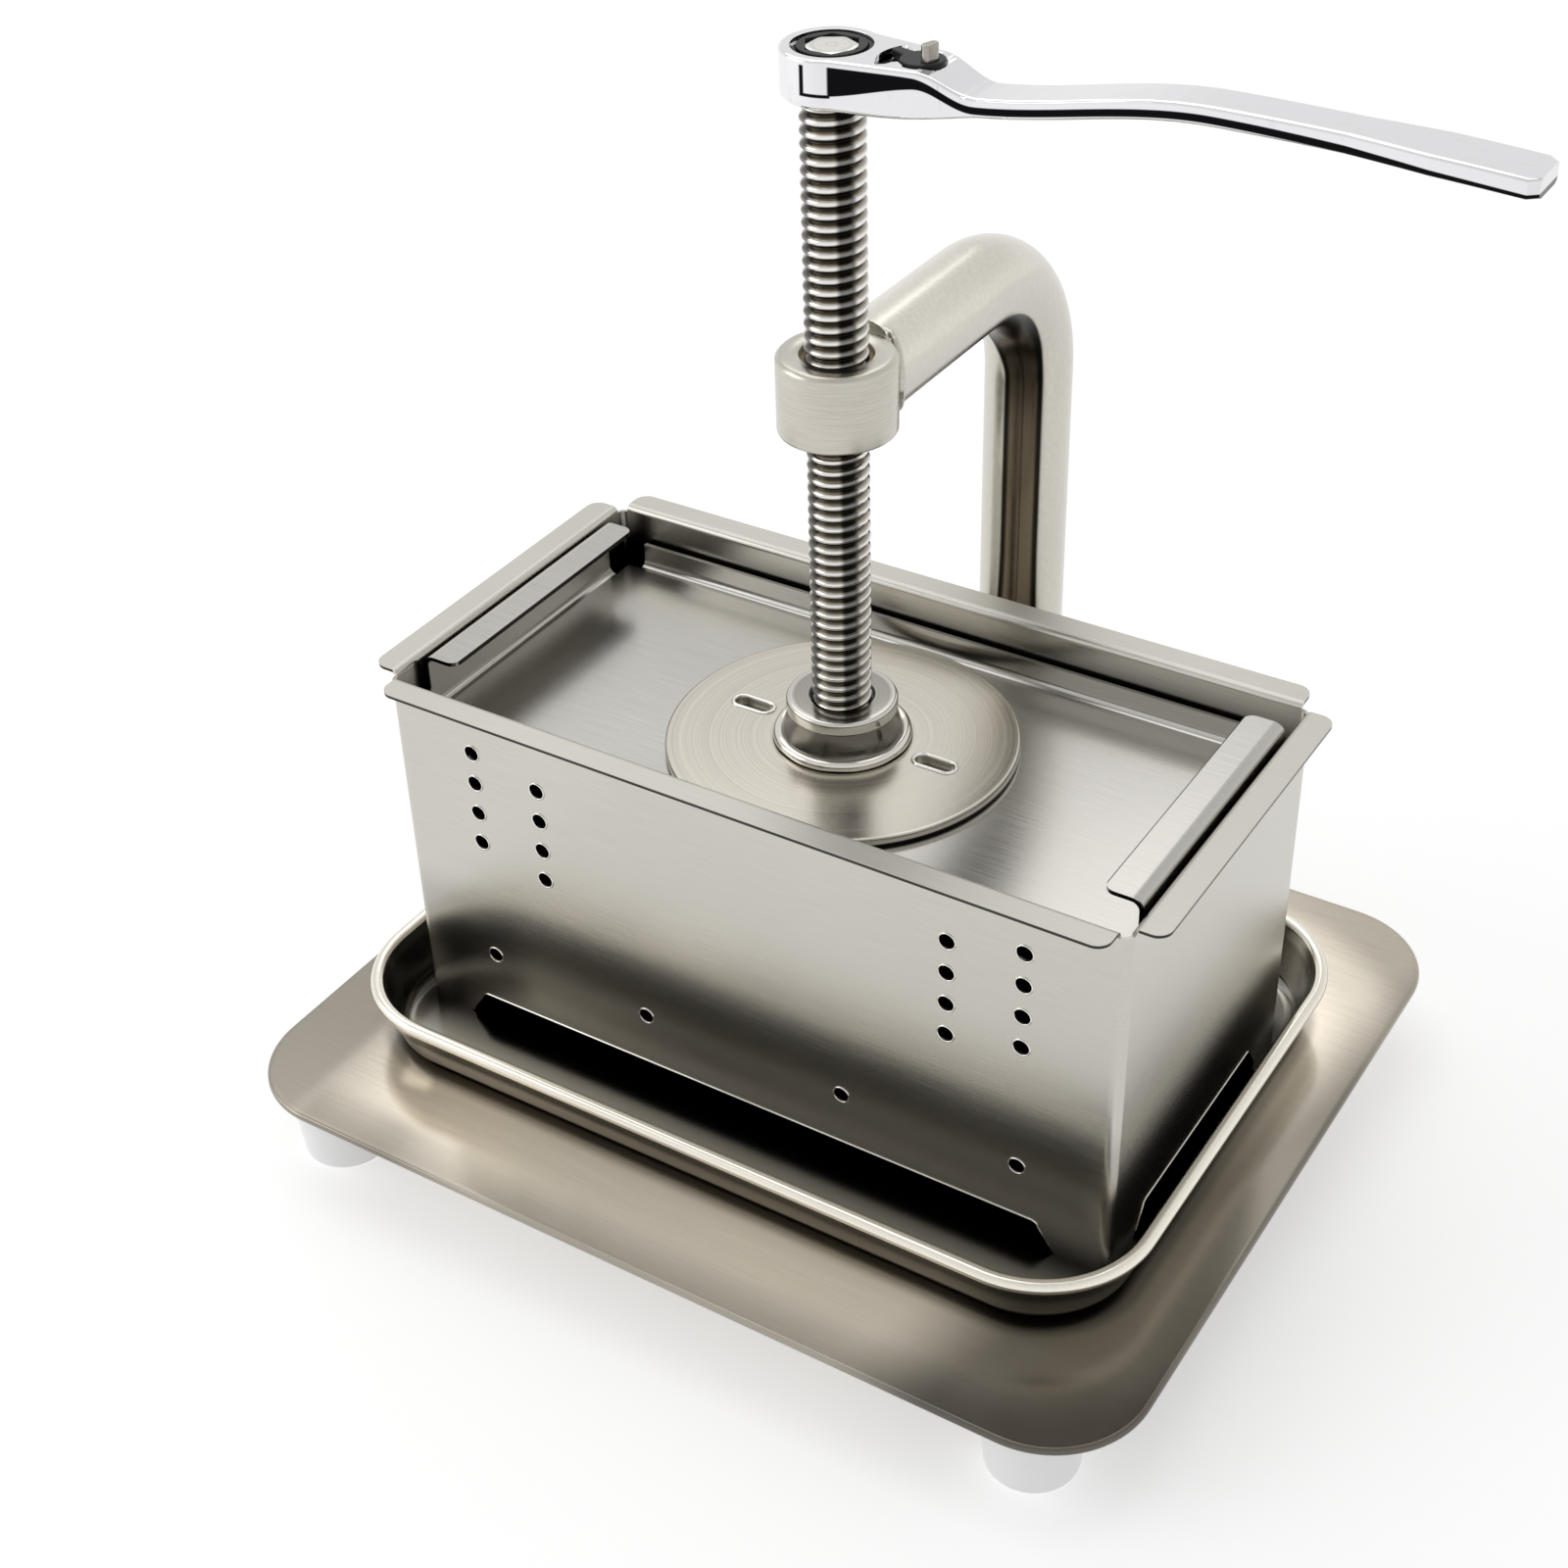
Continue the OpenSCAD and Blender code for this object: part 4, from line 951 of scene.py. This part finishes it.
drainRims = dict(wallY=55.03, boxZ=25.5, r=2.42, wire=0.26, outer=84, outerTop=96.5, inner=62.7,
    innerTop=91.5, rows=4, pitch=10.0, low=31.5, lowRow=26.0, steps=32, sides=8)


def makeDrainRims(p):
    # A small ring round every drain hole: centre + (R + r cos b)(x cos a + z sin a) + r sin b along y.
    rows, ends = np.arange(p["rows"]) * p["pitch"], (-1, 1)
    spots = [(s * p["outer"], p["outerTop"] - row) for s in ends for row in rows]
    spots += [(s * p["inner"], p["innerTop"] - row) for s in ends for row in rows]
    spots += [(s * x, p["lowRow"]) for s in ends for x in (p["low"], p["outer"])]
    spots = np.array([(x, side * p["wallY"], p["boxZ"] + z) for x, z in spots for side in ends])
    a, b = fullTurn(p["steps"])[:, None], fullTurn(p["sides"])[None, :]
    far = p["r"] + p["wire"] * np.cos(b)
    ring = np.stack([far * np.cos(a), p["wire"] * np.sin(b) + 0 * a, far * np.sin(a)], -1)
    points = (spots[:, None, None, :] + ring[None]).reshape(-1, 3)
    index = np.arange(p["steps"] * p["sides"]).reshape(p["steps"], p["sides"])
    ahead = np.roll(index, -1, 0)
    faces = np.stack([index, ahead, np.roll(ahead, -1, 1), np.roll(index, -1, 1)], -1).reshape(-1, 4)
    faces = (faces[None] + (np.arange(len(spots)) * index.size)[:, None, None]).reshape(-1, 4)
    mesh = bpy.data.meshes.new("drain_rims")
    mesh.from_pydata(((points + axisShift) / 1000).tolist(), [], faces.tolist())
    mesh.update()
    return linked("drain_rims", mesh)


archEdge = dict(z=34.5, wire=0.3)
archSpots = dict(front=(89, -55.02, True), back=(89, 55.02, True), left=(33, -111.02, False),
    right=(33, 111.02, False))  # half length, place of the wall, and whether it runs along x


def makeArchEdge(p, name, half, wallAt, alongX):
    # A thin wire on the wall's lower edge between two legs, its ends bent down along them.
    tip = np.array([(half + 5.5, -7), (half + 2, -2), (half + 1.4, -0.6), (half, 0)])
    line = np.concatenate([tip * [-1, 1], tip[::-1]])
    a = fullTurn(10)
    ring = np.stack([0 * a, np.cos(a), np.sin(a)], -1) * p["wire"]
    points = np.stack([line[:, 0], 0 * line[:, 0] + wallAt, p["z"] + line[:, 1]], -1)[:, None] + ring
    if not alongX:
        points = points[..., [1, 0, 2]]
    return gridMesh(name, points, wrapV=True, capU=True)


rims = tidyMesh(makeDrainRims(drainRims), 60)
wires = [tidyMesh(makeArchEdge(archEdge, "arch_edge_" + side, *spot), 60)
    for side, spot in archSpots.items()]
for piece in (rims, *wires):
    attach(piece, "frame")
    piece.data.materials.append(lipHighlightSteel)

hubShape = dict(z=124.5, h=13, topD=30, footD=33.8, bore=17.2, inner=22, roof=3.5, edge=0.3, crown=1.1)


def makeHub(p):
    # Turned section: foot, cone, a groove, the crowned top ring and the hollow under its roof.
    z, h, rt, rf = p["z"], p["h"], p["topD"] / 2, p["footD"] / 2
    rb, ri = p["bore"] / 2, p["inner"] / 2
    under, e, c = h - p["roof"], p["edge"], p["crown"]
    profile = np.concatenate([
        [(ri, 0), (ri, under), (rb, under), (rb, h - e), (rb + e, h)],
        arc(rt - c, h - c, c, 90, 0, 8),
        arc(rt - 0.5, h - 3.2, 0.5, 0, -70, 4),
        [(rt - 0.55, h - 4.2)],
        [(rf - 0.4, 2.2), (rf, 1.6), (rf, 0)]]) + np.array([0, z])
    return gridMesh("hub_turned", latheGrid(profile, 128), wrapU=True, wrapV=True)


dress(tidyMesh(makeHub(hubShape), 40), "hub_cup", hubSteel)
hubBead = flatBead("hub_bead", (0, 0, 125.6), ringR=17.1, radius=1.75, ripples=7, depth=0.035)
dress(tidyMesh(hubBead, 60), "hub_weld")

slotLip = dict(x=28.4, long=12, wide=5, off=0.2, z=124.42, r=0.62)


def makeSlotLip(p, name, side):
    # A thin ring carried along the slot's outline: two half circles joined by straight sides.
    half, r = (p["long"] - p["wide"]) / 2, p["wide"] / 2 + p["off"]
    t = np.radians(np.linspace(-90, 270, 97)[:-1])
    out = np.stack([np.cos(t), np.sin(t), 0 * t], -1)
    line = r * out + np.stack([np.where(np.cos(t) > 0, half, -half), 0 * t, 0 * t], -1)
    centre = line + np.array([side * p["x"], 0, p["z"]])
    up = np.tile([0.0, 0, 1], (len(t), 1))
    return makeBead(name, centre, out, up, p["r"], ripples=1, depth=0.0)


for name, side in (("slot_lip_left", -1), ("slot_lip_right", 1)):
    lip = tidyMesh(makeSlotLip(slotLip, name, side), 60)
    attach(lip, "presser")
    lip.data.materials.append(lipHighlightSteel)

screwShape = dict(d=16, pitch=3.2, depth=1.45, start=134.6, top=300.8, journal=129.5, drive=12,
    driveH=11.9, rowsPerTurn=14, play=0.02, fadeIn=1.5, fadeOut=1.2, runOut=0.2, shoulder=0.9, upperHalf=200)


def threadDepth(phase):
    # A round crest and a narrower root over one turn: half of (1 - cosine), to the power 1.5.
    return (0.5 - 0.5 * np.cos(2 * np.pi * phase)) ** 1.5


def makeScrew(p):
    # Radius = crest radius - depth x wave of the phase; phase = height over pitch minus turned angle.
    # The thread fades out at both ends, at the upper one into a narrower shoulder.
    r, steps = p["d"] / 2, 64
    t = fullTurn(steps)
    rows = int((p["top"] - p["start"]) / p["pitch"] * p["rowsPerTurn"])
    z = np.linspace(p["start"], p["top"], rows)
    fade = np.clip((z - p["start"]) / p["fadeIn"], 0, 1)
    fade = fade * np.clip((p["top"] - p["runOut"] - z) / p["fadeOut"], 0, 1)
    phase = z[:, None] / p["pitch"] - t[None, :] / (2 * np.pi)
    radius = r - p["play"] - p["depth"] * threadDepth(phase) * fade[:, None]
    radius = radius - (1 - fade[:, None]) * p["shoulder"] * (z[:, None] > p["upperHalf"])
    high = np.broadcast_to(z[:, None], radius.shape)
    thread = np.stack([radius * np.cos(t), radius * np.sin(t), high], -1)
    neck = [(r - 0.6, p["journal"]), (r - 0.05, p["journal"] + 0.6), (r - 0.05, p["start"] - 0.3)]
    journal = np.swapaxes(latheGrid(np.array(neck), steps), 0, 1)
    return gridMesh("screw_threaded", np.concatenate([journal, thread]), wrapV=True, capU=True)


def makeDrive(p):
    # A hexagon whose top is chamfered: radius to the flat over cos of the angle from its middle.
    t, half, sixth = fullTurn(96), p["drive"] / 2, math.pi / 6
    flat = half / np.cos((t + sixth) % (2 * sixth) - sixth)
    hexR = np.minimum(flat, half / math.cos(sixth) - 0.15)
    top = p["top"] + p["driveH"]
    rows = [(hexR, p["top"] - 0.5), (hexR, top - 0.7), (hexR - 0.25, top - 0.25), (hexR - 0.7, top - 0.03),
        (hexR - 1.1, top)]
    grid = np.stack([np.stack([q * np.cos(t), q * np.sin(t), 0 * t + z], -1) for q, z in rows])
    return gridMesh("screw_drive", grid, wrapV=True, capU=True)


dress(tidyMesh(makeScrew(screwShape), 60), "lead_screw")
drivePiece = tidyMesh(makeDrive(screwShape), 25)
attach(drivePiece, "screw")
drivePiece.data.materials.append(driveSteel)
print("screw made")


def backgroundRay(tree):
    # One for rays that show the background: straight from the camera, mirrored or let through.
    path = addNode(tree, "LightPath")
    seen = calc("MAXIMUM", path.outputs["Is Camera Ray"], path.outputs["Is Glossy Ray"])
    return calc("MAXIMUM", seen, path.outputs["Is Transmission Ray"])


paper = dict(size=12, z=-0.0002, tone=0.82, near=0.8, far=4.0, nearGlow=0.46, farGlow=0.7)


def makeFloor(p):
    # White paper whose glow grows between the near and the far distance, in metres.
    bpy.ops.mesh.primitive_plane_add(size=p["size"], location=(0, 0, p["z"]))
    floor = bpy.context.object
    floor.name = "floor"
    mat = bpy.data.materials.new("floorPaper")
    mat.use_nodes = True
    tree = mat.node_tree
    tree.nodes.clear()
    out = addNode(tree, "OutputMaterial")
    matte = addNode(tree, "BsdfDiffuse")
    matte.inputs["Color"].default_value = (p["tone"], p["tone"], p["tone"], 1)
    glow = addNode(tree, "Emission")
    coord = addNode(tree, "TexCoord")
    away = addNode(tree, "VectorMath", "LENGTH")
    feed(coord.outputs["Object"], away.inputs[0])
    level = step(away.outputs["Value"], p["near"], p["far"], p["nearGlow"], p["farGlow"])
    feed(product(backgroundRay(tree), level), glow.inputs["Strength"])
    add = addNode(tree, "AddShader")
    feed(matte.outputs[0], add.inputs[0])
    feed(glow.outputs[0], add.inputs[1])
    feed(add.outputs[0], out.inputs["Surface"])
    floor.data.materials.append(mat)


studio = dict(tones=[(0.0, 1.0), (0.5, 0.86), (1.0, 0.7)], light=0.55, shown=0.45)


def makeWorld(p):
    # A pale studio, white where it shows as background and softer as light.
    world = bpy.data.worlds.new("studio")
    bpy.context.scene.world = world
    world.use_nodes = True
    tree = world.node_tree
    tree.nodes.clear()
    out = addNode(tree, "OutputWorld")
    back = addNode(tree, "Background")
    coord = addNode(tree, "TexCoord")
    height = axesOf(coord.outputs["Generated"])[2]
    feed(paintRamp(height, p["tones"]), back.inputs["Color"])
    strength = calc("ADD", product(backgroundRay(tree), p["shown"]), p["light"])
    feed(strength, back.inputs["Strength"])
    feed(back.outputs[0], out.inputs["Surface"])


def softLamp(name, spot, target, size, power):
    # A square lamp at a spot, turned to its target. Metres and watts.
    data = bpy.data.lights.new(name, "AREA")
    data.size = size
    data.energy = power
    lamp = linked(name, data)
    lamp.location = spot
    aim = Vector(target) - Vector(spot)
    lamp.rotation_euler = aim.to_track_quat("-Z", "Y").to_euler()


cameraFacts = dict(azimuth=33.22, elevation=35.657, roll=-1.902, lens=56.34, sensor=36,
    place=(0.27245, -0.4682, 0.4997))


def makeCamera(p):
    # Its axes from the azimuth and elevation of its place, then turned by the roll.
    az, el, roll = (math.radians(p[k]) for k in ("azimuth", "elevation", "roll"))
    back = Vector((math.sin(az) * math.cos(el), -math.cos(az) * math.cos(el), math.sin(el)))
    right = Vector((0, 0, 1)).cross(back).normalized()
    up = back.cross(right)
    sideways = right * math.cos(roll) + up * math.sin(roll)
    upward = up * math.cos(roll) - right * math.sin(roll)
    data = bpy.data.cameras.new("camera")
    data.lens = p["lens"]
    data.sensor_width = p["sensor"]
    data.clip_start = 0.01
    camera = linked("camera", data)
    turn = Matrix((sideways, upward, back)).transposed().to_4x4()
    camera.matrix_world = Matrix.Translation(Vector(p["place"])) @ turn
    bpy.context.scene.camera = camera


makeFloor(paper)
makeWorld(studio)
softLamp("overheadLamp", spot=(-0.5, 0.5, 1.6), target=(0, 0, 0.1), size=1.6, power=8)
softLamp("sideLamp", spot=(-1.4, -0.9, 0.9), target=(0, 0, 0.15), size=1.2, power=6)
makeCamera(cameraFacts)
bpy.context.scene.view_settings.view_transform = "Standard"
print("studio set")
